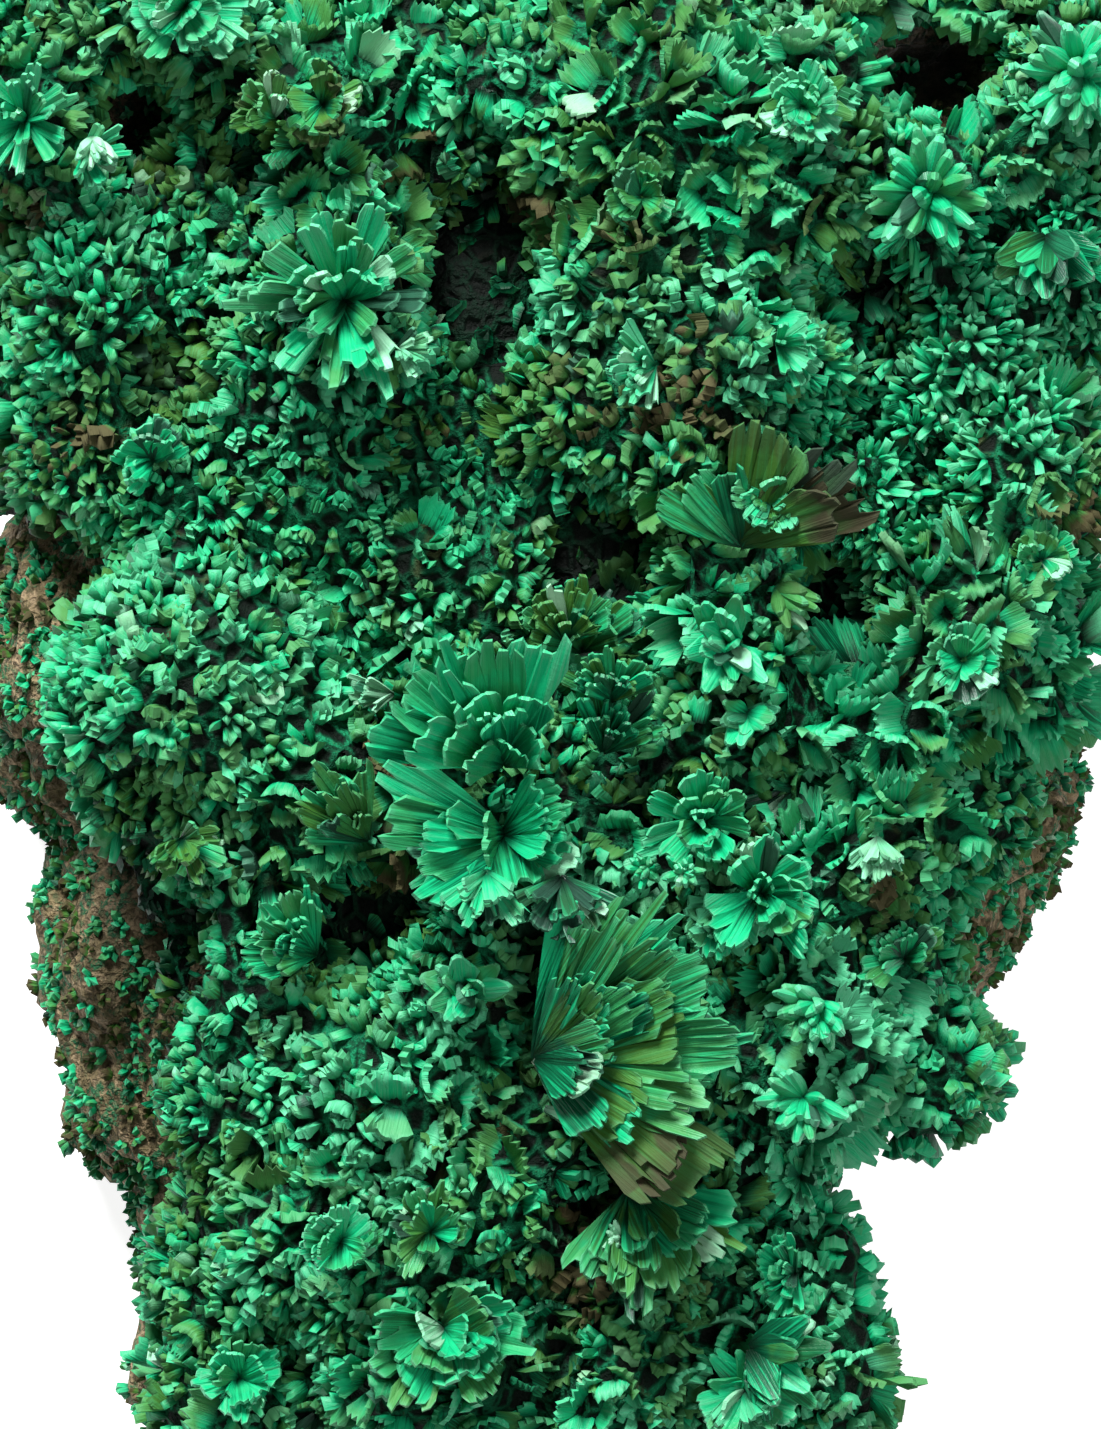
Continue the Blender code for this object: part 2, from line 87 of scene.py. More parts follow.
def tree_of(*names: str) -> BVHTree:
    """Make one search tree of several frame nodes.

    Args:
        names: the nodes' names.

    Returns:
        A tree over all their triangles, in metres.
    """
    points: list[tuple[float, ...]] = []
    faces: list[tuple[int, ...]] = []
    for name in names:
        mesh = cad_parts[name].data
        start = len(points)
        points.extend(tuple(v.co) for v in mesh.vertices)
        faces.extend(tuple(start + i for i in p.vertices) for p in mesh.polygons)
    return BVHTree.FromPolygons(points, faces)


class BladeShape(NamedTuple):
    """How one kind of crystal is shaped.

    Fingers are parallel ribs over its width. Shares are of its length for fall (the corners) and
    tooth (between fingers), of its width for groove and dish, and of a finger's width for pleat.
    """

    fingers: int
    marks: tuple[float, ...]
    rows: int
    root_width: float
    tip_width: float
    fall: float
    tooth: float
    groove: float
    dish: float
    pleat: float


RIB = (0.0, 0.2, 0.8)
LOBE = (0.0, 0.5)
ROUND = (0.0, 0.25, 0.5, 0.75)


class BladeKind(Enum):
    """The crystal forms."""

    FAN = BladeShape(4, RIB, 5, 0.16, 1.0, 0.12, 0.07, 0.16, 0.06, 0.30)
    BROAD_FAN = BladeShape(6, RIB, 5, 0.12, 1.0, 0.10, 0.05, 0.16, 0.05, 0.26)
    NARROW_FAN = BladeShape(3, RIB, 5, 0.20, 1.0, 0.12, 0.08, 0.18, 0.06, 0.30)
    LATH = BladeShape(2, RIB, 4, 0.50, 1.0, 0.05, 0.05, 0.20, 0.04, 0.20)
    LEAF = BladeShape(1, ROUND, 6, 0.38, 0.62, 0.24, 0.0, 0.14, 0.12, 0.0)
    PILL = BladeShape(1, ROUND, 5, 0.60, 0.62, 0.20, 0.0, 0.45, 0.0, 0.0)
    SPRIG = BladeShape(1, LOBE, 3, 0.60, 0.72, 0.12, 0.0, 0.30, 0.0, 0.0)
    CURL = BladeShape(3, LOBE, 3, 0.60, 1.0, 0.16, 0.24, 0.22, 0.55, 0.0)
    FRILL = BladeShape(5, LOBE, 4, 0.34, 1.0, 0.16, 0.15, 0.20, 0.35, 0.0)


@dataclass(frozen=True)
class BladeForm:
    """The grid that every blade of one kind is made on."""

    kind: BladeKind
    thin_edge: bool = False

    def columns(self) -> Array:
        """Places over the width, from -1 to 1."""
        shape = self.kind.value
        marks = [finger + share for finger in range(shape.fingers) for share in shape.marks]
        return np.array([*marks, shape.fingers]) / shape.fingers * 2.0 - 1.0

    def rows(self) -> Array:
        """Places along the length, from 0 at the root to 1 at the rim."""
        return np.linspace(0.0, 1.0, self.kind.value.rows) ** 0.85

    def section(self) -> tuple[list[int], list[float]]:
        """The closed line round the blade's cross-section.

        Returns:
            The column of each point, and its side: 1 above, -1 below, 0 on a thin edge.
        """
        last = len(self.columns()) - 1
        over = list(range(last + 1))
        if self.thin_edge:
            back = list(range(last - 1, 0, -1))
            return over + back, [0.0] + [1.0] * (last - 1) + [0.0] + [-1.0] * len(back)
        return over + over[::-1], [1.0] * (last + 1) + [-1.0] * (last + 1)

    def polygons(self) -> list[tuple[int, ...]]:
        """The faces of one blade, closed at both ends."""
        column, _ = self.section()
        size, rows = len(column), self.kind.value.rows
        found: list[tuple[int, ...]] = []
        for row in range(rows - 1):
            for i in range(size):
                j = (i + 1) % size
                low, high = row * size, (row + 1) * size
                found.append((low + j, low + i, high + i, high + j))
        for base, turned in ((0, False), ((rows - 1) * size, True)):
            for ends in self.end_strip():
                ring = tuple(base + i for i in ends)
                found.append(ring[::-1] if turned else ring)
        return found

    def end_strip(self) -> list[tuple[int, ...]]:
        """The faces that close one end, as places on the section line."""
        size = len(self.section()[0])
        last = len(self.columns()) - 1
        found: list[tuple[int, ...]] = []
        for i in range(last):
            a, b = (-i) % size if self.thin_edge else size - 1 - i, i
            c, d = i + 1, (-(i + 1)) % size if self.thin_edge else size - 2 - i
            ring = []
            for corner in (b, c, d, a):
                if corner not in ring:
                    ring.append(corner)
            found.append(tuple(ring))
        return found


@dataclass
class BladeSet:
    """Blades that share a form, gathered before their mesh is made. Lengths are in mm."""

    form: BladeForm
    seed: int
    root: list = field(default_factory=list)
    along: list = field(default_factory=list)
    face: list = field(default_factory=list)
    size: list = field(default_factory=list)
    look: list = field(default_factory=list)

    def add(self, root: Vector, along: Vector, face: Vector, length: float, width: float,
            thick: float, curl: float, tint: float, stain: float, cast: float) -> None:
        """Put in one blade.

        Args:
            root: where it starts.
            along: unit direction of its length.
            face: unit direction that its flat face looks in.
            length: from root to rim.
            width: half the width at the rim.
            thick: half the thickness.
            curl: how far the rim bends towards the face, as a share of length.
            tint: 0 deep green to 1 pale mint; on crust clusters it also carries painted shade in recesses and painted
                light on raised spots.
            stain: 0 clean to 1 brown.
            cast: -1 slate to 1 whitish; on crust clusters in recesses the darker end is painted shade.
        """
        self.root.append(tuple(root))
        self.along.append(tuple(along))
        self.face.append(tuple(face))
        self.size.append((length, width, thick, curl))
        self.look.append((tint, stain, cast))

    def points(self) -> tuple[Array, Array, Array]:
        """Shape all blades at once.

        Returns:
            Positions in metres, then the growth colour and the cast of every point.
        """
        chance = np.random.default_rng(self.seed)
        shape = self.form.kind.value
        fingers = shape.fingers
        column, side = self.form.section()
        u = self.form.columns()[column]
        v = self.form.rows()
        side = np.array(side)
        count = len(self.root)
        length, width, thick, curl = np.array(self.size).T[:, :, None, None]
        phase = np.clip((u + 1.0) / 2.0 * fingers, 0.0, fingers - 1e-6)
        finger = np.floor(phase).astype(int)
        arch = np.sin(np.pi * (phase - finger))
        inner = arch > 0.2
        uneven = chance.normal(0.0, 0.07, (count, fingers))[:, finger] * inner * (fingers > 1)
        lift = chance.normal(0.0, 0.5, (count, fingers))[:, finger] * inner
        tilt = chance.normal(0.0, shape.pleat, (count, fingers))[:, finger] * inner
        reach = 1.0 - shape.fall * np.abs(u) ** 2.6 - shape.tooth * (1.0 - arch) ** 1.5
        reach = reach[None, :] + uneven
        if shape.tip_width < 1.0:
            sweep = shape.root_width + (1.0 - shape.root_width) * np.sin(np.minimum(v * 1.35, 1.0) * np.pi / 2)
            sweep = sweep * (1.0 - (1.0 - shape.tip_width) * np.maximum(v - 0.72, 0.0) / 0.28)
        else:
            sweep = shape.root_width + (1.0 - shape.root_width) * v ** 0.9
        sweep = sweep[None, :, None]
        grown = v[None, :, None]
        above = side[None, None, :] > 0
        rib_width = sweep * width / fingers * 2.0
        a = grown * reach[:, None, :] * length
        b = u[None, None, :] * sweep * width
        rib = shape.groove * arch[None, None, :] * rib_width * above
        pleat = tilt[:, None, :] * (phase - finger - 0.5)[None, None, :] * rib_width * above
        body = thick * side[None, None, :] * (0.75 + 0.25 * grown)
        bend = curl * length * grown ** 2
        hollow = shape.dish * chance.normal(1.0, 0.5, (count, 1, 1)) * width * u[None, None, :] ** 2 * grown
        step = lift[:, None, :] * thick * grown * above
        wave = chance.normal(0.0, 0.2, (count, 1, 1)) * width * grown ** 2
        c = rib + pleat + body + bend + hollow + step
        b = b + wave
        along = unit(np.array(self.along))
        face = np.array(self.face)
        face = unit(face - along * np.sum(face * along, axis=1, keepdims=True))
        over = np.cross(face, along)
        root = np.array(self.root)
        xyz = (root[:, None, None, :] + a[..., None] * along[:, None, None, :]
               + b[..., None] * over[:, None, None, :] + c[..., None] * face[:, None, None, :])
        xyz = self.fit(xyz, root)
        tint, stain, cast = np.array(self.look).T[:, :, None, None]
        growth = np.stack([np.broadcast_to(value, a.shape) for value in (grown, b, tint, stain)], axis=-1)
        return (xyz.reshape(-1, 3) * MM, growth.reshape(-1, 4),
                np.broadcast_to(cast, a.shape).reshape(-1))


    @staticmethod
    def fit(xyz: Array, root: Array) -> Array:
        """Shorten the blades that would reach outside the solids' box.

        Args:
            xyz: the blades' points, in mm.
            root: where each blade starts.

        Returns:
            The points, each blade drawn in towards its root as far as needed.
        """
        low, high = np.array(CAD_BOX) / MM
        start = np.clip(root, low + 0.02, high - 0.02)[:, None, None, :]
        step = xyz - start
        room = np.where(step > 0.0, high - start, low - start)
        share = np.where(np.abs(step) > np.abs(room), room / np.where(step == 0.0, 1.0, step), 1.0)
        return start + step * share.min(axis=(1, 2, 3))[:, None, None, None]


def blade_mesh(name: str, sets: list[BladeSet], sharp: float) -> bpy.types.Object:
    """Join blade sets in one mesh object.

    Args:
        name: the piece's name.
        sets: the blades.
        sharp: edges that turn by more than this angle, in degrees, stay crisp.

    Returns:
        The object, linked to the scene.
    """
    points, growth, cast, corners, starts = [], [], [], [], []
    base = taken = 0
    for group in sets:
        if not group.root:
            continue
        xyz, tone, hue = group.points()
        count = len(group.root)
        size = len(xyz) // count
        faces = group.form.polygons()
        flat = np.array([i for face in faces for i in face], np.int64)
        begin = np.cumsum([0] + [len(face) for face in faces[:-1]])
        shift = np.arange(count)[:, None]
        corners.append((flat[None, :] + shift * size + base).reshape(-1))
        starts.append((begin[None, :] + shift * len(flat) + taken).reshape(-1))
        points.append(xyz)
        growth.append(tone)
        cast.append(hue)
        base += len(xyz)
        taken += count * len(flat)
    mesh = bpy.data.meshes.new(name)
    xyz = inside_box(np.concatenate(points)).astype(np.float32)
    corner = np.concatenate(corners).astype(np.int32)
    start = np.concatenate(starts).astype(np.int32)
    mesh.vertices.add(len(xyz))
    mesh.vertices.foreach_set("co", xyz.ravel())
    mesh.loops.add(len(corner))
    mesh.loops.foreach_set("vertex_index", corner)
    mesh.polygons.add(len(start))
    mesh.polygons.foreach_set("loop_start", start)
    mesh.update(calc_edges=True)
    tone = mesh.attributes.new("growth", "FLOAT_COLOR", "POINT")
    tone.data.foreach_set("color", np.concatenate(growth).astype(np.float32).ravel())
    hue = mesh.attributes.new("cast", "FLOAT", "POINT")
    hue.data.foreach_set("value", np.concatenate(cast).astype(np.float32))
    mesh.polygons.foreach_set("use_smooth", np.ones(len(start), bool))
    mesh.set_sharp_from_angle(angle=math.radians(sharp))
    obj = bpy.data.objects.new(name, mesh)
    bpy.context.scene.collection.objects.link(obj)
    return obj


class Shader:
    """A thin hand on a node tree, so that a material reads from top to bottom."""

    def __init__(self, tree: bpy.types.NodeTree) -> None:
        """Hold the tree."""
        self.tree = tree

    def node(self, kind: str, **settings: object) -> bpy.types.Node:
        """Add a node.

        Args:
            kind: the node's type name without its prefix.
            settings: properties to set on it.

        Returns:
            The node.
        """
        made = self.tree.nodes.new("ShaderNode" + kind)
        for key, value in settings.items():
            setattr(made, key, value)
        return made

    def join(self, source: object, target: bpy.types.NodeSocket) -> None:
        """Link a socket to a target, or set the target to a constant."""
        if isinstance(source, bpy.types.NodeSocket):
            self.tree.links.new(source, target)
        else:
            target.default_value = source

    def math(self, operation: str, a: object, b: object = 0.0, clamp: bool = False) -> bpy.types.NodeSocket:
        """Combine two values.

        Args:
            operation: the Math node's operation.
            a: first value or socket.
            b: second value or socket.
            clamp: whether the result is kept in 0 to 1.

        Returns:
            The result socket.
        """
        made = self.node("Math", operation=operation, use_clamp=clamp)
        self.join(a, made.inputs[0])
        self.join(b, made.inputs[1])
        return made.outputs[0]

    def span(self, value: object, low: float, high: float, to_low: float = 0.0,
             to_high: float = 1.0) -> bpy.types.NodeSocket:
        """Map a value smoothly from one range to another.

        Args:
            value: the value or socket.
            low: start of its range.
            high: end of its range.
            to_low: what the start becomes.
            to_high: what the end becomes.

        Returns:
            The result socket.
        """
        made = self.node("MapRange", interpolation_type="SMOOTHSTEP")
        self.join(value, made.inputs["Value"])
        for label, number in (("From Min", low), ("From Max", high), ("To Min", to_low), ("To Max", to_high)):
            made.inputs[label].default_value = number
        return made.outputs["Result"]

    def mix(self, share: object, a: object, b: object, blend: str = "MIX") -> bpy.types.NodeSocket:
        """Mix two colours.

        Args:
            share: how much of the second.
            a: first colour or socket.
            b: second colour or socket.
            blend: the blend type.

        Returns:
            The colour socket.
        """
        made = self.node("Mix", data_type="RGBA", blend_type=blend)
        self.join(share, made.inputs[0])
        self.join(a, made.inputs[6])
        self.join(b, made.inputs[7])
        return made.outputs[2]

    def noise(self, where: object, scale: float, detail: float = 3.0, rough: float = 0.55) -> bpy.types.NodeSocket:
        """Add a noise value.

        Args:
            where: coordinates.
            scale: its frequency.
            detail: its octaves.
            rough: how strong the finer octaves are.

        Returns:
            The value socket.
        """
        made = self.node("TexNoise")
        self.join(where, made.inputs["Vector"])
        made.inputs["Scale"].default_value = scale
        made.inputs["Detail"].default_value = detail
        made.inputs["Roughness"].default_value = rough
        return made.outputs[0]


def new_group(name: str, inputs: dict[str, tuple[str, float]], outputs: dict[str, str]) -> tuple[Shader, bpy.types.Node, bpy.types.Node]:
    """Start a shader node group.

    Args:
        name: its name.
        inputs: each input's socket type and default.
        outputs: each output's socket type.

    Returns:
        A hand on its tree, its input node and its output node.
    """
    tree = bpy.data.node_groups.new(name, "ShaderNodeTree")
    for label, (kind, value) in inputs.items():
        socket = tree.interface.new_socket(label, in_out="INPUT", socket_type=kind)
        if kind == "NodeSocketFloat":
            socket.default_value = value
    for label, kind in outputs.items():
        tree.interface.new_socket(label, in_out="OUTPUT", socket_type=kind)
    hand = Shader(tree)
    return hand, hand.tree.nodes.new("NodeGroupInput"), hand.tree.nodes.new("NodeGroupOutput")


class Effects:
    """Shader groups that more than one finish uses, each built once."""

    def __init__(self) -> None:
        """Build the groups."""
        self.striation = self.build_striation()
        self.blotch = self.build_blotch()
        self.grit = self.build_grit()
        self.pores = self.build_pores()

    def build_striation(self) -> bpy.types.NodeTree:
        """Fine lines along a crystal, from the growth attribute.

        Returns:
            A group with a Lines mask and a Height.
        """
        hand, start, end = new_group(
            "crystal striation",
            {"Fineness": ("NodeSocketFloat", 9.0), "Along": ("NodeSocketFloat", 0.0),
             "Across": ("NodeSocketFloat", 0.0), "Salt": ("NodeSocketFloat", 0.0)},
            {"Lines": "NodeSocketFloat", "Height": "NodeSocketFloat"})
        where = hand.node("CombineXYZ")
        hand.join(hand.math("MULTIPLY", start.outputs["Across"], start.outputs["Fineness"]), where.inputs[0])
        hand.join(hand.math("MULTIPLY", start.outputs["Along"], 0.7), where.inputs[1])
        hand.join(hand.math("MULTIPLY", start.outputs["Salt"], 37.0), where.inputs[2])
        both = hand.noise(where.outputs[0], 0.8, 2.0, 0.65)
        hand.join(hand.span(both, 0.38, 0.62), end.inputs["Lines"])
        hand.join(both, end.inputs["Height"])
        return hand.tree

    def build_blotch(self) -> bpy.types.NodeTree:
        """Patches of another colour over the surface.

        Returns:
            A group with a Mask.
        """
        hand, start, end = new_group(
            "mineral blotches",
            {"Vector": ("NodeSocketVector", 0.0), "Size": ("NodeSocketFloat", 300.0),
             "Amount": ("NodeSocketFloat", 0.5)},
            {"Mask": "NodeSocketFloat"})
        made = hand.node("TexNoise")
        hand.join(start.outputs["Vector"], made.inputs["Vector"])
        hand.join(start.outputs["Size"], made.inputs["Scale"])
        made.inputs["Detail"].default_value = 2.0
        lifted = hand.math("ADD", made.outputs[0], hand.math("SUBTRACT", start.outputs["Amount"], 0.5))
        hand.join(hand.span(lifted, 0.46, 0.60), end.inputs["Mask"])
        return hand.tree

    def build_grit(self) -> bpy.types.NodeTree:
        """A finely uneven skin.

        Returns:
            A group with a Height and a Speck mask.
        """
        hand, start, end = new_group(
            "fine grit",
            {"Vector": ("NodeSocketVector", 0.0), "Size": ("NodeSocketFloat", 3000.0)},
            {"Height": "NodeSocketFloat", "Speck": "NodeSocketFloat"})
        made = hand.node("TexNoise")
        hand.join(start.outputs["Vector"], made.inputs["Vector"])
        hand.join(start.outputs["Size"], made.inputs["Scale"])
        made.inputs["Detail"].default_value = 3.0
        made.inputs["Roughness"].default_value = 0.7
        hand.join(made.outputs[0], end.inputs["Height"])
        hand.join(hand.span(made.outputs[0], 0.60, 0.68), end.inputs["Speck"])
        return hand.tree

    def build_pores(self) -> bpy.types.NodeTree:
        """Small holes with a net of ridges between them.

        Returns:
            A group with a Ridge mask.
        """
        hand, start, end = new_group(
            "pores",
            {"Vector": ("NodeSocketVector", 0.0), "Size": ("NodeSocketFloat", 900.0),
             "Width": ("NodeSocketFloat", 0.2)},
            {"Ridge": "NodeSocketFloat"})
        made = hand.node("TexVoronoi", feature="DISTANCE_TO_EDGE")
        hand.join(start.outputs["Vector"], made.inputs["Vector"])
        hand.join(start.outputs["Size"], made.inputs["Scale"])
        share = hand.math("DIVIDE", made.outputs["Distance"], start.outputs["Width"])
        hand.join(hand.span(share, 0.3, 1.0, 1.0, 0.0), end.inputs["Ridge"])
        return hand.tree


Colour = tuple[float, float, float, float]


@dataclass(frozen=True)
class CrystalFinish:
    """Silky malachite crystal, coloured by how each blade grew, with painted shade towards each blade's root."""

    name: str
    deep: Colour = (0.0008, 0.066, 0.027, 1.0)
    emerald: Colour = (0.0050, 0.315, 0.130, 1.0)
    mint: Colour = (0.055, 0.322, 0.162, 1.0)
    olive: Colour = (0.040, 0.115, 0.010, 1.0)
    brown: Colour = (0.052, 0.038, 0.018, 1.0)
    slate_and_shade: Colour = (0.014, 0.036, 0.026, 1.0)
    white: Colour = (0.320, 0.560, 0.390, 1.0)
    rim: Colour = (0.095, 0.360, 0.205, 1.0)
    rim_start: float = 0.93
    rim_share: float = 0.4
    # how dark the painted shade at a blade's root is, as a share of its colour
    root_painted_shade: float = 0.16
    fineness: float = 9.0
    roughness: float = 0.34
    shine: float = 0.20

    def material(self, effects: Effects) -> bpy.types.Material:
        """Build the material.

        Args:
            effects: the shared shader groups.

        Returns:
            The material.
        """
        made = bpy.data.materials.new(self.name)
        made.use_nodes = True
        hand = Shader(made.node_tree)
        shader = made.node_tree.nodes["Principled BSDF"]
        growth = hand.node("Attribute", attribute_name="growth")
        cast = hand.node("Attribute", attribute_name="cast").outputs["Fac"]
        parts = hand.node("SeparateColor")
        hand.join(growth.outputs["Color"], parts.inputs[0])
        along, across, tint = parts.outputs[0], parts.outputs[1], parts.outputs[2]
        stain = growth.outputs["Alpha"]
        where = hand.node("TexCoord").outputs["Object"]
        lines = self.group(hand, effects.striation, Along=along, Across=across, Salt=tint,
                           Fineness=self.fineness)
        blotch = self.group(hand, effects.blotch, Vector=where, Size=420.0, Amount=0.5)
        grit = self.group(hand, effects.grit, Vector=where, Size=5200.0)
        tone = hand.math("ADD", tint, hand.math("MULTIPLY", hand.math("SUBTRACT", along, 0.62), 0.34))
        tone = hand.math("ADD", tone, hand.math("MULTIPLY", hand.math("SUBTRACT", lines.outputs["Lines"], 0.5), 0.34))
        tone = hand.math("ADD", tone, hand.math("MULTIPLY", hand.math("SUBTRACT", blotch.outputs["Mask"], 0.5), 0.12))
        colour = hand.mix(hand.span(tone, 0.02, 0.48), self.deep, self.emerald)
        colour = hand.mix(hand.span(tone, 0.50, 1.0), colour, self.mint)
        worn = hand.math("ADD", along, hand.math("MULTIPLY", blotch.outputs["Mask"], 0.5))
        aged = hand.math("MULTIPLY", stain, hand.span(worn, 0.15, 1.15, 0.3, 1.15))
        colour = hand.mix(hand.span(aged, 0.08, 0.5, 0.0, 0.8), colour, self.olive)
        rust = hand.math("MULTIPLY", hand.span(aged, 0.55, 0.95, 0.0, 0.94), hand.span(along, 0.45, 0.9, 0.25, 1.0))
        colour = hand.mix(rust, colour, self.brown)
        # the dark end of the cast: real dark blades, and painted shade on crust clusters in recesses
        colour = hand.mix(hand.span(hand.math("MULTIPLY", cast, -1.0), 0.05, 0.9, 0.0, 0.95), colour, self.slate_and_shade)
        colour = hand.mix(hand.span(cast, 0.05, 0.9, 0.0, 0.9), colour, self.white)
        edge = hand.math("MULTIPLY", hand.span(along, self.rim_start, 1.0), self.rim_share)
        edge = hand.math("MULTIPLY", edge, hand.span(stain, 0.25, 0.75, 1.0, 0.05))
        edge = hand.math("MULTIPLY", edge, hand.span(tone, 0.1, 0.7, 0.35, 1.0))
        colour = hand.mix(edge, colour, self.rim)
        # painted shade: each blade darkens towards its root, where it sits among the others
        root = hand.span(along, 0.0, 0.55, self.root_painted_shade, 1.0)
        shade = hand.node("CombineColor")
        for slot in range(3):
            hand.join(root, shade.inputs[slot])
        colour = hand.mix(1.0, colour, shade.outputs[0], "MULTIPLY")
        hand.join(colour, shader.inputs["Base Color"])
        gloss = hand.span(aged, 0.2, 0.9, self.roughness, self.roughness + 0.5)
        gloss = hand.math("ADD", gloss, hand.math("MULTIPLY", grit.outputs["Speck"], 0.12))
        hand.join(gloss, shader.inputs["Roughness"])
        shader.inputs["IOR"].default_value = 1.5
        shader.inputs["Specular IOR Level"].default_value = self.shine
        relief = hand.math("ADD", hand.math("MULTIPLY", lines.outputs["Height"], 1.0),
                           hand.math("MULTIPLY", grit.outputs["Height"], 0.35))
        bump = hand.node("Bump")
        bump.inputs["Strength"].default_value = 0.55
        bump.inputs["Distance"].default_value = 0.00016
        hand.join(relief, bump.inputs["Height"])
        hand.join(bump.outputs[0], shader.inputs["Normal"])
        return made

    @staticmethod
    def group(hand: Shader, tree: bpy.types.NodeTree, **values: object) -> bpy.types.Node:
        """Place a shared group.

        Args:
            hand: the material's tree.
            tree: the group.
            values: what its inputs take.

        Returns:
            The group node.
        """
        made = hand.node("Group")
        made.node_tree = tree
        for label, value in values.items():
            hand.join(value, made.inputs[label])
        return made


@dataclass(frozen=True)
class GroundFinish:
    """A rough mineral ground: the crust's skin, whose dark greens are painted shade, or the bare rock."""

    name: str
    low: Colour
    high: Colour
    tan: Colour
    green: Colour
    tan_amount: float
    green_amount: float
    roughness: float
    relief: float
    patch: float = 260.0
    shine: float = 0.5
    # near-black painted shade for pore holes and recesses
    painted_shade: Colour = (0.0015, 0.0025, 0.0018, 1.0)
    pore_size: float = 2100.0
    pore_depth: float = 0.22

    def material(self, effects: Effects) -> bpy.types.Material:
        """Build the material.

        Args:
            effects: the shared shader groups.

        Returns:
            The material.
        """
        made = bpy.data.materials.new(self.name)
        made.use_nodes = True
        hand = Shader(made.node_tree)
        shader = made.node_tree.nodes["Principled BSDF"]
        where = hand.node("TexCoord").outputs["Object"]
        place = CrystalFinish.group
        grit = place(hand, effects.grit, Vector=where, Size=2600.0)
        coarse = place(hand, effects.grit, Vector=where, Size=700.0)
        pale = place(hand, effects.blotch, Vector=where, Size=self.patch * 1.7, Amount=self.tan_amount)
        grown = place(hand, effects.blotch, Vector=where, Size=self.patch, Amount=self.green_amount)
        colour = hand.mix(hand.span(coarse.outputs["Height"], 0.38, 0.62), self.low, self.high)
        colour = hand.mix(hand.math("MULTIPLY", pale.outputs["Mask"], 0.8), colour, self.tan)
        flecks = hand.math("MULTIPLY", grown.outputs["Mask"], hand.span(grit.outputs["Height"], 0.44, 0.56))
        colour = hand.mix(flecks, colour, self.green)
        colour = hand.mix(hand.math("MULTIPLY", grit.outputs["Speck"], 0.35), colour, self.tan)
        pores = place(hand, effects.pores, Vector=where, Size=self.pore_size, Width=0.22)
        # painted shade: the pore holes darken towards near-black
        pore_shade = hand.math("MULTIPLY", hand.math("SUBTRACT", 1.0, pores.outputs["Ridge"]), self.pore_depth)
        colour = hand.mix(pore_shade, colour, self.painted_shade)
        pit = hand.node("Attribute", attribute_name="pit").outputs["Fac"]
        # painted shade: points marked as lying in a recess darken towards near-black
        colour = hand.mix(hand.math("MULTIPLY", pit, 0.94), colour, self.painted_shade)
        hand.join(colour, shader.inputs["Base Color"])
        hand.join(hand.span(grit.outputs["Height"], 0.3, 0.7, self.roughness - 0.12, self.roughness + 0.08), shader.inputs["Roughness"])
        height = hand.math("ADD", grit.outputs["Height"], hand.math("MULTIPLY", coarse.outputs["Height"], 1.6))
        height = hand.math("ADD", height, hand.math("MULTIPLY", pores.outputs["Ridge"], self.pore_depth))
        bump = hand.node("Bump")
        bump.inputs["Strength"].default_value = 0.9
        bump.inputs["Distance"].default_value = self.relief
        hand.join(height, bump.inputs["Height"])
        hand.join(bump.outputs[0], shader.inputs["Normal"])
        shader.inputs["Specular IOR Level"].default_value = self.shine
        return made


@dataclass(frozen=True)
class FloorFinish:
    """Plain pale studio floor, bright enough to read as white paper."""

    name: str = "pale_floor"
    colour: Colour = (0.50, 0.50, 0.50, 1.0)
    glow: float = 0.85

    def material(self) -> bpy.types.Material:
        """Build the material."""
        made = bpy.data.materials.new(self.name)
        made.use_nodes = True
        shader = made.node_tree.nodes["Principled BSDF"]
        shader.inputs["Base Color"].default_value = self.colour
        shader.inputs["Roughness"].default_value = 0.8
        shader.inputs["Emission Color"].default_value = (1.0, 1.0, 1.0, 1.0)
        shader.inputs["Emission Strength"].default_value = self.glow
        return made


@dataclass(frozen=True)
class Ring:
    """Blades round one focus, all at one tilt. Angles in degrees, reach in mm."""

    count: int
    first: float
    last: float
    tilt: float
    reach: float


@dataclass(frozen=True)
class Head:
    """One focus of a spray, in mm, with its rings of blades from the outermost in."""

    x: float
    y: float
    z: float
    rings: tuple[Ring, ...]


# How many blades stand for one of the solid's, and their greatest half width as a share of reach.
CROWDING = {
    BladeKind.FAN: (1.25, 0.30),
    BladeKind.BROAD_FAN: (1.2, 0.28),
    BladeKind.NARROW_FAN: (1.5, 0.20),
    BladeKind.LATH: (2.1, 0.125),
    BladeKind.LEAF: (1.6, 0.23),
    BladeKind.PILL: (1.9, 0.17),
}


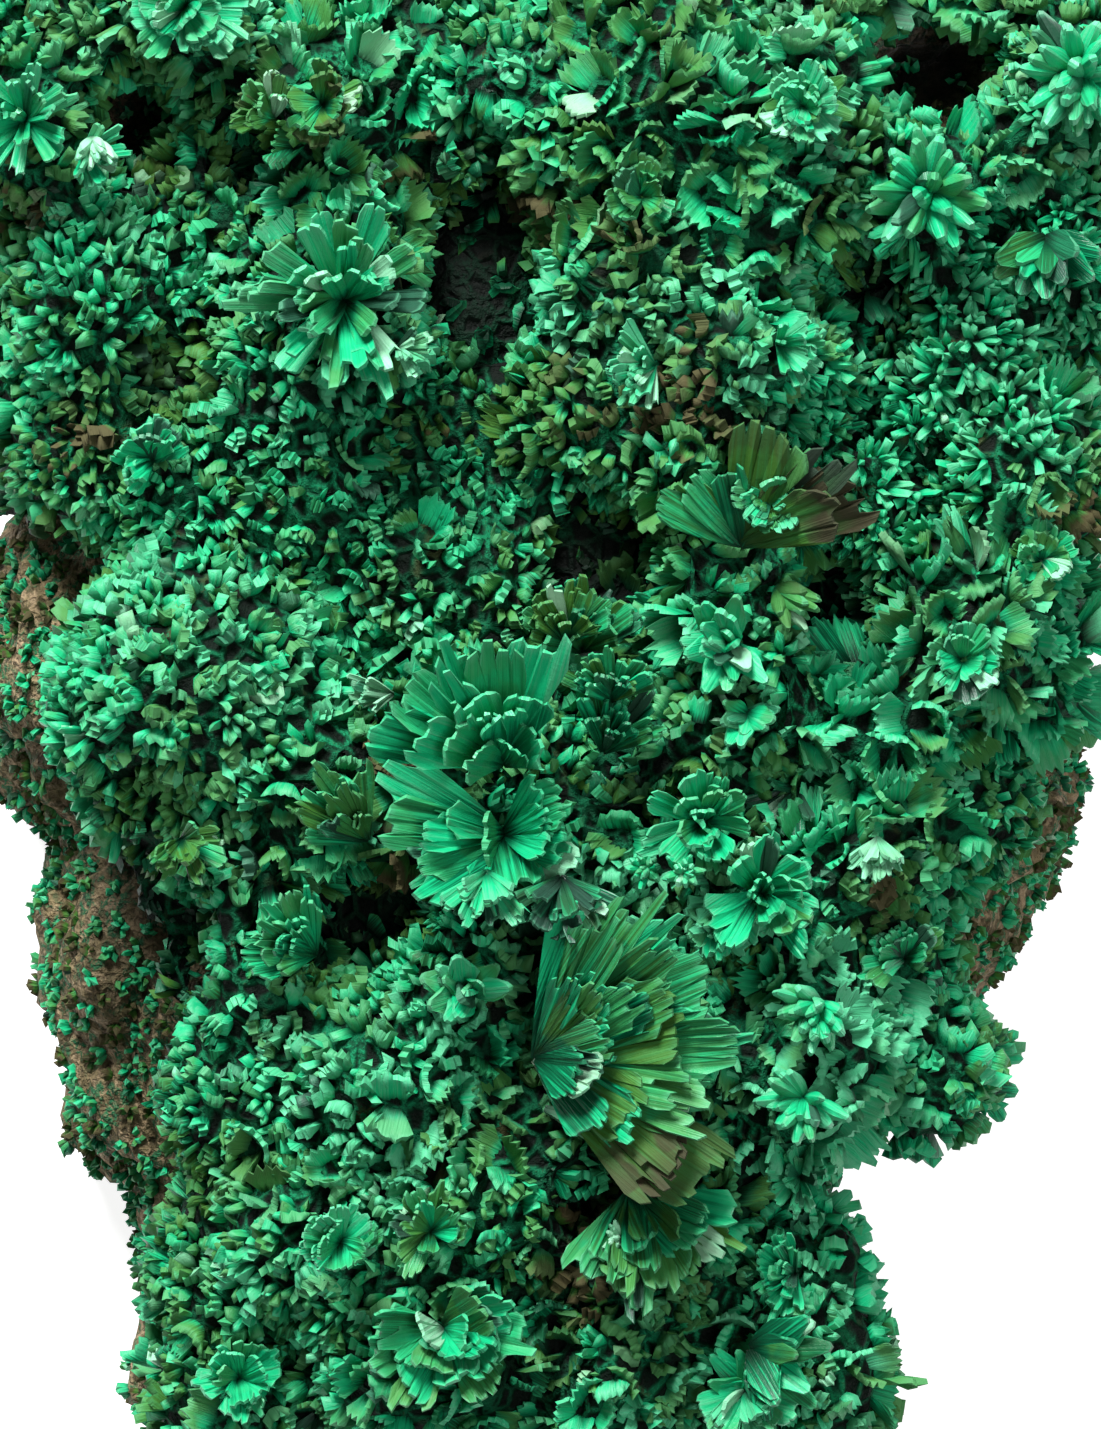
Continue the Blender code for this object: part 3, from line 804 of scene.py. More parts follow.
@dataclass
class Spray:
    """One spray of large crystals, which stands for its solid node."""

    node: str
    kind: BladeKind
    tint: float
    stain: float
    heads: tuple[Head, ...]
    cover: float = 1.2
    thick: float = 0.06
    curl: float = 0.05
    cast_share: float = 0.09
    inner: BladeKind | None = None
    rusty: tuple[float, float] | None = None
    ragged: float = 1.0
    grown: float = 1.0
    own_cast: float = 0.0

    def build(self, material: bpy.types.Material) -> bpy.types.Object:
        """Make the spray's crystals and let them ride on the specimen.

        Args:
            material: the crystal finish.

        Returns:
            The piece.
        """
        chance = random.Random(self.node)
        kinds = {self.kind, self.inner or self.kind}
        sets = {kind: BladeSet(BladeForm(kind), len(self.node) * 31 + index)
                for index, kind in enumerate(sorted(kinds, key=lambda k: k.name))}
        for head in self.heads:
            for level, ring in enumerate(head.rings):
                kind = self.kind if level == 0 else (self.inner or self.kind)
                self.grow_ring(sets[kind], head, ring, level, chance)
                if level + 1 < len(head.rings) or level == 0:
                    self.grow_ring(sets[kind], head, self.between(head, level), level + 0.5, chance)
        obj = blade_mesh(self.node + "_crystals", list(sets.values()), 32.0)
        obj.data.materials.append(material)
        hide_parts(self.node)
        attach(obj, "root")
        return obj

    @staticmethod
    def between(head: Head, level: int) -> Ring:
        """A ring half way between this one and the next one in.

        Args:
            head: the focus.
            level: the place of the outer ring.

        Returns:
            The new ring.
        """
        outer = head.rings[level]
        inner = head.rings[level + 1] if level + 1 < len(head.rings) else None
        if inner is None:
            return Ring(max(outer.count - 1, 2), outer.first, outer.last, outer.tilt * 0.72, outer.reach * 0.86)
        return Ring(max((outer.count + inner.count + 1) // 2, 2), outer.first, outer.last,
                    (outer.tilt + inner.tilt) / 2, (outer.reach + inner.reach) / 2)

    def grow_ring(self, blades: BladeSet, head: Head, ring: Ring, level: float,
                  chance: random.Random) -> None:
        """Add one ring's blades.

        Args:
            blades: where they go.
            head: the focus.
            ring: the ring.
            level: how far in it lies, for the colours.
            chance: the spray's own random source.
        """
        crowd, widest = CROWDING[blades.form.kind]
        count = max(2, round(ring.count * crowd))
        span = ring.last - ring.first
        step = span / max(count - 1, 1)
        tilt = math.radians(ring.tilt)
        broad = ring.reach * math.sin(tilt) * math.tan(math.radians(min(step, 70.0)) / 2) * self.cover
        broad = min(max(broad, 0.6 * widest * ring.reach), widest * ring.reach) * self.grown
        focus = Vector((head.x, head.y, head.z - SEATED))
        for i in range(count):
            bearing = math.radians(ring.first + step * i + chance.uniform(-0.5, 0.5) * step * self.ragged)
            lean = tilt + math.radians(chance.uniform(-13.0, 5.0) * self.ragged)
            along = Vector((math.sin(lean) * math.cos(bearing), math.sin(lean) * math.sin(bearing), math.cos(lean)))
            face = Vector((-math.cos(lean) * math.cos(bearing), -math.cos(lean) * math.sin(bearing), math.sin(lean)))
            face = face + Vector([chance.uniform(-0.34, 0.34) * self.ragged for _ in range(3)])
            long = ring.reach * self.grown * chance.uniform(0.74, 1.0)
            tint = self.tint - 0.12 + chance.uniform(-0.18, 0.18) - 0.04 * level
            stain = max(0.0, self.stain * (1.35 - 0.3 * level) + chance.uniform(-0.22, 0.22))
            if self.rusty and level < 1.0 and self.rusty[0] < math.degrees(bearing) < self.rusty[1]:
                stain += chance.uniform(0.10, 0.36)
            cast = self.own_cast * chance.uniform(0.5, 1.1)
            if chance.random() < self.cast_share:
                cast = chance.choice((-0.8, 0.55, -0.6))
            blades.add(focus, along, face.normalized(), long, broad * chance.uniform(0.8, 1.15),
                       self.thick * chance.uniform(0.8, 1.3), self.curl + chance.uniform(-0.07, 0.07),
                       tint, stain, cast)


class Habit(NamedTuple):
    """How one kind of crust grows: each cluster is some small curled blades. Sizes in mm, leans in degrees."""

    gap: float
    kind: BladeKind
    blades: int
    reach: float
    half_width: float
    half_thick: float
    least_lean: float
    most_lean: float


class Crusting(Enum):
    """The crust's habits."""

    FINE = Habit(0.88, BladeKind.CURL, 2, 1.00, 0.52, 0.18, 0.0, 36.0)
    CORAL = Habit(1.08, BladeKind.CURL, 3, 1.22, 0.72, 0.20, 0.0, 42.0)
    LEAFY = Habit(1.50, BladeKind.FRILL, 3, 1.75, 1.05, 0.11, 15.0, 66.0)
    SPIKY = Habit(1.06, BladeKind.SPRIG, 8, 1.40, 0.25, 0.14, 10.0, 66.0)
    WALLS = Habit(1.12, BladeKind.CURL, 3, 1.05, 0.92, 0.19, 0.0, 20.0)
    TUFTS = Habit(1.85, BladeKind.FRILL, 5, 2.10, 1.00, 0.09, 20.0, 68.0)
    GRAINS = Habit(0.95, BladeKind.SPRIG, 4, 0.62, 0.20, 0.15, 5.0, 60.0)


@dataclass(frozen=True)
class Tone:
    """A lighter or darker part of the crust: a darker one is painted shade in a recess, which it also deepens; brown
    is stain. Places and radii are in photograph pixels.
    """

    px: float
    py: float
    rx: float
    ry: float
    shift: float
    brown: float = 0.0

    def share(self, x: float, y: float) -> float:
        """How strongly it acts at a point in mm, from 0 to 1."""
        dx = (x / PHOTO_SCALE + PHOTO_MIDDLE[0] - self.px) / self.rx
        dy = (PHOTO_MIDDLE[1] - y / PHOTO_SCALE - self.py) / self.ry
        return max(0.0, 1.0 - 0.7 * (dx * dx + dy * dy))


@dataclass(frozen=True)
class Patch:
    """A part of the crust with its own growth. Places and radii are in photograph pixels."""

    px: float
    py: float
    rx: float
    ry: float
    growth: Crusting
    tint: float
    stain: float
    grey: float = 0.0

    def distance(self, x: float, y: float) -> float:
        """How far a point in mm lies from the middle, 1 at the patch's rim."""
        dx = (x / PHOTO_SCALE + PHOTO_MIDDLE[0] - self.px) / self.rx
        dy = (PHOTO_MIDDLE[1] - y / PHOTO_SCALE - self.py) / self.ry
        return math.hypot(dx, dy)


@dataclass
class Seat:
    """Where one cluster stands, in mm, and how it grows."""

    spot: Vector
    way: Vector
    growth: Crusting
    tint: float
    stain: float
    cast: float
    size: float = 1.0


class Room:
    """Keeps clusters apart."""

    cell = 1.6

    def __init__(self) -> None:
        """Start empty."""
        self.taken: dict[tuple[int, int, int], list[tuple[Array, float]]] = {}

    def key(self, spot: Array) -> tuple[int, int, int]:
        """The cell that a spot is in."""
        return tuple(int(math.floor(k / self.cell)) for k in spot)

    def free(self, spot: Array, gap: float) -> bool:
        """Whether nothing stands too near.

        Args:
            spot: the place, in mm.
            gap: the room it asks for.

        Returns:
            True if it may stand there.
        """
        i, j, k = self.key(spot)
        for x in (i - 1, i, i + 1):
            for y in (j - 1, j, j + 1):
                for z in (k - 1, k, k + 1):
                    for other, room in self.taken.get((x, y, z), ()):
                        if sum((other - spot) ** 2) < (0.5 * (gap + room)) ** 2:
                            return False
        return True

    def take(self, spot: Array, gap: float) -> None:
        """Note that something stands here."""
        self.taken.setdefault(self.key(spot), []).append((spot, gap))


class Relief:
    """How deep a place lies among its surroundings, seen from above."""

    cell = 0.6
    reach = 8

    def __init__(self, points: Array) -> None:
        """Map the highest points, then smooth the map.

        Args:
            points: the skin's points, in mm.
        """
        self.low = points[:, :2].min(axis=0) - 4.0
        size = np.ceil((points[:, :2].max(axis=0) + 4.0 - self.low) / self.cell).astype(int) + 1
        top = np.full(size, -1e9)
        spot = ((points[:, :2] - self.low) / self.cell).astype(int)
        np.maximum.at(top, (spot[:, 0], spot[:, 1]), points[:, 2])
        known = top > -1e8
        level, weight = np.where(known, top, 0.0), known.astype(float)
        for axis in (0, 1):
            level = sum(np.roll(level, step, axis) for step in range(-self.reach, self.reach + 1))
            weight = sum(np.roll(weight, step, axis) for step in range(-self.reach, self.reach + 1))
        self.mean = level / np.maximum(weight, 1e-6)

    def depth(self, spot: Array) -> float:
        """How far below the mean of its surroundings a spot lies, in mm."""
        i, j = ((spot[:2] - self.low) / self.cell).astype(int)
        return float(self.mean[i, j] - spot[2])


def recess_depth(tones: tuple[Tone, ...], spots: Array) -> Array:
    """How much deeper the ground lies at each spot, in mm, where a tone marks a dark recess.

    Args:
        tones: the lighter and darker parts.
        spots: places, in mm.

    Returns:
        The extra depths.
    """
    deep = np.zeros(len(spots))
    for tone in tones:
        dx = (spots[:, 0] / PHOTO_SCALE + PHOTO_MIDDLE[0] - tone.px) / tone.rx
        dy = (PHOTO_MIDDLE[1] - spots[:, 1] / PHOTO_SCALE - tone.py) / tone.ry
        deep += max(0.0, RECESS_TONE - tone.shift) * np.maximum(0.0, 1.0 - 0.7 * (dx * dx + dy * dy))
    return np.where(spots[:, 2] > LOWEST_RECESS, np.minimum(RECESS_RATE * deep, DEEPEST_RECESS), 0.0)


def mark_pit_shade(mesh: bpy.types.Mesh, depth: Array) -> None:
    """Store how much painted shade each point gets for lying in a recess, from 0 to 1."""
    mark = mesh.attributes.new("pit", "FLOAT", "POINT")
    mark.data.foreach_set("value", np.clip(depth, 0.0, 1.0).astype(np.float32))


def scatter(mesh: bpy.types.Mesh, density: float, seed: int) -> tuple[Array, Array]:
    """Throw points on a surface.

    Args:
        mesh: the surface, in metres.
        density: points to the square mm.
        seed: the random seed.

    Returns:
        The places in mm, and the outward directions.
    """
    mesh.calc_loop_triangles()
    points = read_points(mesh) / MM
    corner = np.empty(len(mesh.loop_triangles) * 3, np.int32)
    mesh.loop_triangles.foreach_get("vertices", corner)
    corner = corner.reshape(-1, 3)
    a, b, c = points[corner[:, 0]], points[corner[:, 1]], points[corner[:, 2]]
    cross = np.cross(b - a, c - a)
    area = np.linalg.norm(cross, axis=1) / 2
    chance = np.random.default_rng(seed)
    total = int(area.sum() * density)
    pick = chance.choice(len(area), total, p=area / area.sum())
    r1, r2 = np.sqrt(chance.random(total))[:, None], chance.random(total)[:, None]
    spots = (1 - r1) * a[pick] + r1 * (1 - r2) * b[pick] + r1 * r2 * c[pick]
    return spots, unit(read_normals(mesh)[corner[pick]].mean(axis=1) + 0.6 * unit(cross[pick]))


@dataclass
class Crust:
    """The green crust: a skin, dark with painted shade, under tens of thousands of small crystals."""

    node: str = "malachite_crust"
    voxel: float = 0.82
    sunk: float = 0.65
    swell: float = 0.4
    pieces: int = 6
    patches: tuple[Patch, ...] = (
        Patch(195, 690, 165, 160, Crusting.CORAL, 0.48, 0.18, 0.02),
        Patch(110, 260, 130, 120, Crusting.CORAL, 0.47, 0.18),
        Patch(400, 510, 230, 130, Crusting.FINE, 0.36, 0.12, -0.10),
        Patch(540, 560, 110, 110, Crusting.FINE, 0.30, 0.36, -0.05),
        Patch(640, 90, 130, 100, Crusting.TUFTS, 0.46, 0.30),
        Patch(520, 110, 80, 100, Crusting.CORAL, 0.40, 0.28),
        Patch(700, 220, 150, 70, Crusting.LEAFY, 0.48, 0.34),
        Patch(940, 1080, 100, 95, Crusting.WALLS, 0.36, 0.02),
        Patch(990, 620, 110, 130, Crusting.TUFTS, 0.52, 0.14),
        Patch(1000, 330, 140, 130, Crusting.SPIKY, 0.46, 0.08),
        Patch(900, 450, 110, 110, Crusting.SPIKY, 0.38, 0.12),
        Patch(660, 310, 150, 80, Crusting.CORAL, 0.66, 0.12),
        Patch(610, 420, 90, 90, Crusting.CORAL, 0.50, 0.22),
        Patch(330, 1050, 140, 120, Crusting.CORAL, 0.47, 0.16),
        Patch(180, 1000, 90, 180, Crusting.FINE, 0.30, 0.22),
        Patch(440, 1120, 90, 70, Crusting.LEAFY, 0.46, 0.24),
        Patch(330, 1290, 120, 110, Crusting.CORAL, 0.47, 0.18),
        Patch(470, 1370, 120, 90, Crusting.TUFTS, 0.46, 0.14),
        Patch(860, 1270, 110, 90, Crusting.CORAL, 0.42, 0.06),
        Patch(820, 1060, 90, 130, Crusting.LEAFY, 0.70, 0.06, 0.08),
        Patch(340, 130, 110, 110, Crusting.TUFTS, 0.38, 0.20),
        Patch(330, 830, 90, 90, Crusting.TUFTS, 0.42, 0.30),
        Patch(620, 620, 90, 60, Crusting.TUFTS, 0.36, 0.12),
        Patch(640, 900, 80, 60, Crusting.CORAL, 0.66, 0.12),
        Patch(870, 760, 90, 100, Crusting.TUFTS, 0.46, 0.16),
    )
    # negative shifts paint shade into the crust's recesses; positive shifts make parts lighter; brown adds stain
    tones: tuple[Tone, ...] = (
        Tone(475, 260, 60, 115, -0.60),
        Tone(935, 60, 60, 55, -0.55),
        Tone(153, 342, 80, 70, -0.30),
        Tone(614, 593, 50, 90, -0.45),
        Tone(844, 607, 60, 50, -0.45),
        Tone(1023, 245, 40, 50, -0.40),
        Tone(880, 300, 42, 70, -0.50),
        Tone(775, 302, 55, 28, -0.40),
        Tone(563, 400, 50, 60, -0.30, 0.30),
        Tone(568, 570, 45, 70, -0.50),
        Tone(940, 503, 42, 70, -0.40),
        Tone(860, 415, 40, 45, -0.35),
        Tone(133, 110, 55, 70, -0.45),
        Tone(200, 196, 75, 42, -0.35, 0.30),
        Tone(58, 312, 40, 45, -0.30),
        Tone(163, 390, 60, 42, -0.35),
        Tone(642, 809, 80, 60, -0.45),
        Tone(119, 893, 60, 160, -0.40),
        Tone(363, 928, 110, 75, -0.45),
        Tone(725, 963, 80, 60, -0.40),
        Tone(670, 1195, 160, 50, -0.45),
        Tone(537, 1353, 60, 90, -0.45),
        Tone(272, 153, 80, 50, -0.30),
        Tone(188, 28, 140, 60, 0.18),
        Tone(49, 119, 100, 80, 0.20),
        Tone(370, 314, 130, 130, 0.18),
        Tone(711, 335, 200, 100, 0.22),
        Tone(830, 84, 80, 120, 0.18),
        Tone(1039, 90, 90, 110, 0.18),
        Tone(1010, 502, 120, 250, 0.14),
        Tone(195, 690, 170, 170, 0.10),
        Tone(614, 893, 200, 80, 0.16),
        Tone(823, 1012, 90, 200, 0.22),
        Tone(328, 1060, 190, 170, 0.12),
        Tone(760, 1390, 110, 60, 0.20),
        Tone(400, 800, 55, 90, -0.05, 0.9),
        Tone(715, 355, 40, 28, 0.0, 0.9),
        Tone(680, 410, 60, 34, 0.0, 0.8),
        Tone(580, 1260, 70, 70, 0.0, 0.7),
        Tone(880, 900, 35, 45, 0.0, 0.7),
        Tone(20, 190, 50, 50, 0.0, 0.8),
        Tone(530, 200, 45, 40, 0.0, 0.8),
        Tone(460, 426, 60, 28, 0.0, 0.8),
        Tone(80, 440, 40, 45, 0.0, 0.8),
        Tone(385, 150, 45, 35, 0.0, 0.6),
        Tone(1075, 500, 45, 50, 0.0, 0.6),
    )
    skin: bpy.types.Object | None = None

    def build_skin(self, material: bpy.types.Material) -> bpy.types.Object:
        """Make the uneven ground that the crystals stand on.

        Args:
            material: its finish.

        Returns:
            The piece.
        """
        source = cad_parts[self.node]
        obj = bpy.data.objects.new("crust_ground", source.data.copy())
        bpy.context.scene.collection.objects.link(obj)
        remesh = obj.modifiers.new("even", "REMESH")
        remesh.mode = "VOXEL"
        remesh.voxel_size = self.voxel * MM * 1.0
        settle(obj)
        mesh = obj.data
        points = read_points(mesh)
        normals = read_normals(mesh)
        lift = np.array([noise.fractal(Vector(p) * 420.0, 0.8, 2.1, 3) for p in points])
        pits = recess_depth(self.tones, points / MM)
        points = points + normals * ((lift * self.swell - self.sunk - pits) * MM)[:, None]
        mesh.vertices.foreach_set("co", inside_box(points).astype(np.float32).ravel())
        mesh.update()
        relief = Relief(points / MM)
        # painted shade: points in dark-toned recesses or below their surroundings darken towards near-black
        depth = np.array([relief.depth(p / MM) for p in points]) * np.maximum(normals[:, 2], 0.0)
        mark_pit_shade(mesh, pits / 1.4 + np.maximum(depth / 3.0 - 0.3, 0.0))
        mesh.polygons.foreach_set("use_smooth", np.ones(len(mesh.polygons), bool))
        mesh.materials.clear()
        mesh.materials.append(material)
        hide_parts(self.node)
        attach(obj, "root")
        self.skin = obj
        return obj

    def seats(self, sprays: BVHTree, rock: BVHTree) -> list[Seat]:
        """Choose where the small clusters stand on the crust.

        Args:
            sprays: the large sprays' solids, which the clusters keep clear of.
            rock: the bare rock.

        Returns:
            The seats, in mm.
        """
        spots, ways = scatter(self.skin.data, 9.0, 7)
        relief = Relief(read_points(self.skin.data) / MM)
        room = Room()
        chance = random.Random(11)
        found = []
        for spot, way in zip(spots, ways):
            growth, tint, stain, cast = self.growth_at(spot)
            seen = way[2] > 0.1 and abs(spot[1]) < 34.0
            gap = growth.value.gap * 1.0 * (1.0 if seen else 1.6)
            if not room.free(spot, gap):
                continue
            place = Vector(spot * MM)
            if rock.find_nearest(place)[3] < 0.75 * MM:
                continue
            tip = place + Vector(way) * (growth.value.reach * 0.5 * MM)
            hit = sprays.find_nearest(tip)
            if hit[3] is not None and hit[3] < 0.34 * MM:
                continue
            sunk = relief.depth(spot) * max(way[2], 0.0)
            shares = [(tone, tone.share(spot[0], spot[1])) for tone in self.tones] if seen else []
            shift = sum(tone.shift * share for tone, share in shares)
            stain += sum(tone.brown * share for tone, share in shares) * chance.uniform(0.4, 1.2)
            if chance.random() < min(0.45 * (sunk > 2.4) - 0.85 * min(shift + 0.1, 0.0), 0.7):
                continue
            room.take(spot, gap)
            # painted shade: in dark-toned recesses and in hollows below their surroundings, clusters get a darker
            # tint and a cast towards the dark end; painted light: on raised spots the tint is up to 0.18 lighter
            tint += shift * (1.35 if shift < 0.0 else 1.0)
            cast += 1.6 * min(shift + 0.2, 0.0) - min(max((sunk - 1.2) * 0.24, 0.0), 0.5)
            tint -= min(max(sunk * 0.21, -0.18), 0.55)
            found.append(Seat(Vector(spot), Vector(way), growth, tint, stain, cast, 1.0 if seen else 1.25))
        return found

    def growth_at(self, spot: Array) -> tuple[Crusting, float, float, float]:
        """What grows at a point of the crust.

        Args:
            spot: the point, in mm.

        Returns:
            The growth, tint, stain and cast there.
        """
        broad = noise.noise(Vector(spot) * 0.16)
        small = noise.noise(Vector(spot) * 0.55 + Vector((9.0, 2.0, 5.0)))
        best = min(self.patches, key=lambda patch: patch.distance(spot[0], spot[1]))
        lone = spot[2] > 20.0 and noise.noise(Vector(spot) * 0.9 + Vector((3.0, 8.0, 1.0))) > 0.46
        if spot[2] > 12.0 and best.distance(spot[0], spot[1]) + 0.3 * small < 1.05:
            return Crusting.TUFTS if lone else best.growth, best.tint + 0.22 * small, best.stain + 0.35 * broad, best.grey
        growth = Crusting.CORAL if broad > -0.15 else Crusting.FINE
        if small > 0.32:
            growth = Crusting.LEAFY
        if lone:
            growth = Crusting.TUFTS
        return growth, 0.46 + 0.26 * small + 0.1 * broad, 0.20 + 0.45 * max(0.0, broad), 0.0

    def build_crystals(self, material: bpy.types.Material, sprays: BVHTree, rock: BVHTree) -> list[bpy.types.Object]:
        """Grow all small crystals, split over several pieces.

        Args:
            material: the crystal finish.
            sprays: the large sprays' solids.
            rock: the bare rock.

        Returns:
            The pieces.
        """
        seats = self.seats(sprays, rock)
        log.info("%d clusters of small crystals", len(seats))
        seats.sort(key=lambda seat: seat.spot.y)
        share = math.ceil(len(seats) / self.pieces)
        made = []
        for index in range(self.pieces):
            chance = random.Random(100 + index)
            groups = {kind: BladeSet(BladeForm(kind, True), 200 + 10 * index + order)
                      for order, kind in enumerate((BladeKind.SPRIG, BladeKind.CURL, BladeKind.FRILL))}
            for seat in seats[index * share:(index + 1) * share]:
                self.grow_cluster(groups, seat, chance)
            obj = blade_mesh(f"crust_crystals_{index + 1}", list(groups.values()), 78.0)
            obj.data.materials.append(material)
            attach(obj, "root")
            made.append(obj)
        return made

    @staticmethod
    def grow_cluster(groups: dict[BladeKind, BladeSet], seat: Seat, chance: random.Random) -> None:
        """Add the blades of one small cluster.

        Args:
            groups: blade sets by form.
            seat: the cluster's seat.
            chance: the piece's random source.
        """
        spot, way, habit = seat.spot, seat.way, seat.growth.value
        side = way.orthogonal().normalized()
        front = way.cross(side)
        turn = chance.uniform(0.0, math.tau)
        own = chance.uniform(-0.2, 0.2)
        size = chance.uniform(0.8, 1.16) * seat.size
        count = habit.blades + (chance.random() < 0.3) - (chance.random() < 0.3)
        for order in range(max(count, 1)):
            bearing = turn + math.tau * order / count + chance.uniform(-0.5, 0.5)
            share = (order * 0.618 + 0.3) % 1.0
            lean = habit.least_lean + (habit.most_lean - habit.least_lean) * share + chance.uniform(-8.0, 8.0)
            lean = math.radians(lean)
            out = side * math.cos(bearing) + front * math.sin(bearing)
            spine = way * math.cos(lean) + out * math.sin(lean)
            flat = way * math.sin(lean) - out * math.cos(lean)
            roll = chance.gauss(0.0, 0.5)
            tangent = flat.cross(spine)
            across = tangent * math.cos(roll) + flat * math.sin(roll)
            flat = spine.cross(across)
            root = spot + out * (habit.gap * chance.uniform(0.0, 0.28)) - way * (0.2 * habit.reach)
            tone = seat.tint + own + chance.uniform(-0.14, 0.14)
            blot = max(0.0, seat.stain + chance.uniform(-0.20, 0.26))
            hue = seat.cast + (chance.uniform(-0.9, 0.6) if chance.random() < 0.05 else 0.0)
            long = habit.reach * size * chance.uniform(0.72, 1.1)
            broad = habit.half_width * size * chance.uniform(0.7, 1.15)
            thick = habit.half_thick * chance.uniform(0.85, 1.25)
            curl = chance.uniform(-0.12, 0.30)
            if habit.kind is not BladeKind.CURL or chance.random() > 0.36:
                groups[habit.kind].add(root, spine, flat, long, broad, thick, curl, tone, blot, hue)
                continue
            across = flat.cross(spine)
            for turned in (-1.0, 1.0):
                angle = turned * chance.uniform(0.15, 0.5)
                along = spine * math.cos(angle) + across * math.sin(angle)
                groups[BladeKind.SPRIG].add(root + across * (turned * 0.3 * broad), along, flat, long * 1.08,
                                            0.4 * broad, thick * 1.1, curl, tone + 0.05 * turned, blot, hue)


@dataclass(frozen=True)
class Bundle:
    """A few larger crystals on the crust, too small to stand as a solid. Its place is in photograph pixels."""

    px: float
    py: float
    kind: BladeKind
    tint: float
    cast: float
    ring: Ring
    stain: float = 0.05
    lift: float = 0.9


@dataclass(frozen=True)
class LooseCrystals:
    """The bundles, as one piece."""

    bundles: tuple[Bundle, ...]

    def build(self, material: bpy.types.Material, ground: BVHTree) -> bpy.types.Object:
        """Stand every bundle on the crust.

        Args:
            material: the crystal finish.
            ground: the solids they stand on.

        Returns:
            The piece.
        """
        sets: dict[BladeKind, BladeSet] = {}
        for index, bundle in enumerate(self.bundles):
            x = (bundle.px - PHOTO_MIDDLE[0]) * PHOTO_SCALE
            y = (PHOTO_MIDDLE[1] - bundle.py) * PHOTO_SCALE
            hit = ground.ray_cast(Vector((x, y, 60.0)) * MM, Vector((0.0, 0.0, -1.0)))[0]
            level = hit.z / MM + bundle.lift
            blades = sets.setdefault(bundle.kind, BladeSet(BladeForm(bundle.kind), 700 + len(sets)))
            grower = Spray("bundle", bundle.kind, bundle.tint, bundle.stain, (), ragged=1.4,
                           own_cast=bundle.cast)
            chance = random.Random(900 + index)
            head = Head(x, y, level, (bundle.ring,))
            grower.grow_ring(blades, head, bundle.ring, 0, chance)
            grower.grow_ring(blades, head, grower.between(head, 0), 0.5, chance)
        obj = blade_mesh("loose_crystals", list(sets.values()), 32.0)
        obj.data.materials.append(material)
        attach(obj, "root")
        return obj


def settle(obj: bpy.types.Object) -> None:
    """Turn an object's modifiers into its own mesh."""
    graph = bpy.context.evaluated_depsgraph_get()
    made = bpy.data.meshes.new_from_object(obj.evaluated_get(graph))
    old = obj.data
    obj.modifiers.clear()
    obj.data = made
    bpy.data.meshes.remove(old)


def read_points(mesh: bpy.types.Mesh) -> Array:
    """Vertex places as an array of rows."""
    flat = np.empty(len(mesh.vertices) * 3, np.float32)
    mesh.vertices.foreach_get("co", flat)
    return flat.reshape(-1, 3).astype(np.float64)


def read_normals(mesh: bpy.types.Mesh) -> Array:
    """Vertex normals as an array of rows."""
    flat = np.empty(len(mesh.vertices) * 3, np.float32)
    mesh.vertex_normals.foreach_get("vector", flat)
    return flat.reshape(-1, 3).astype(np.float64)


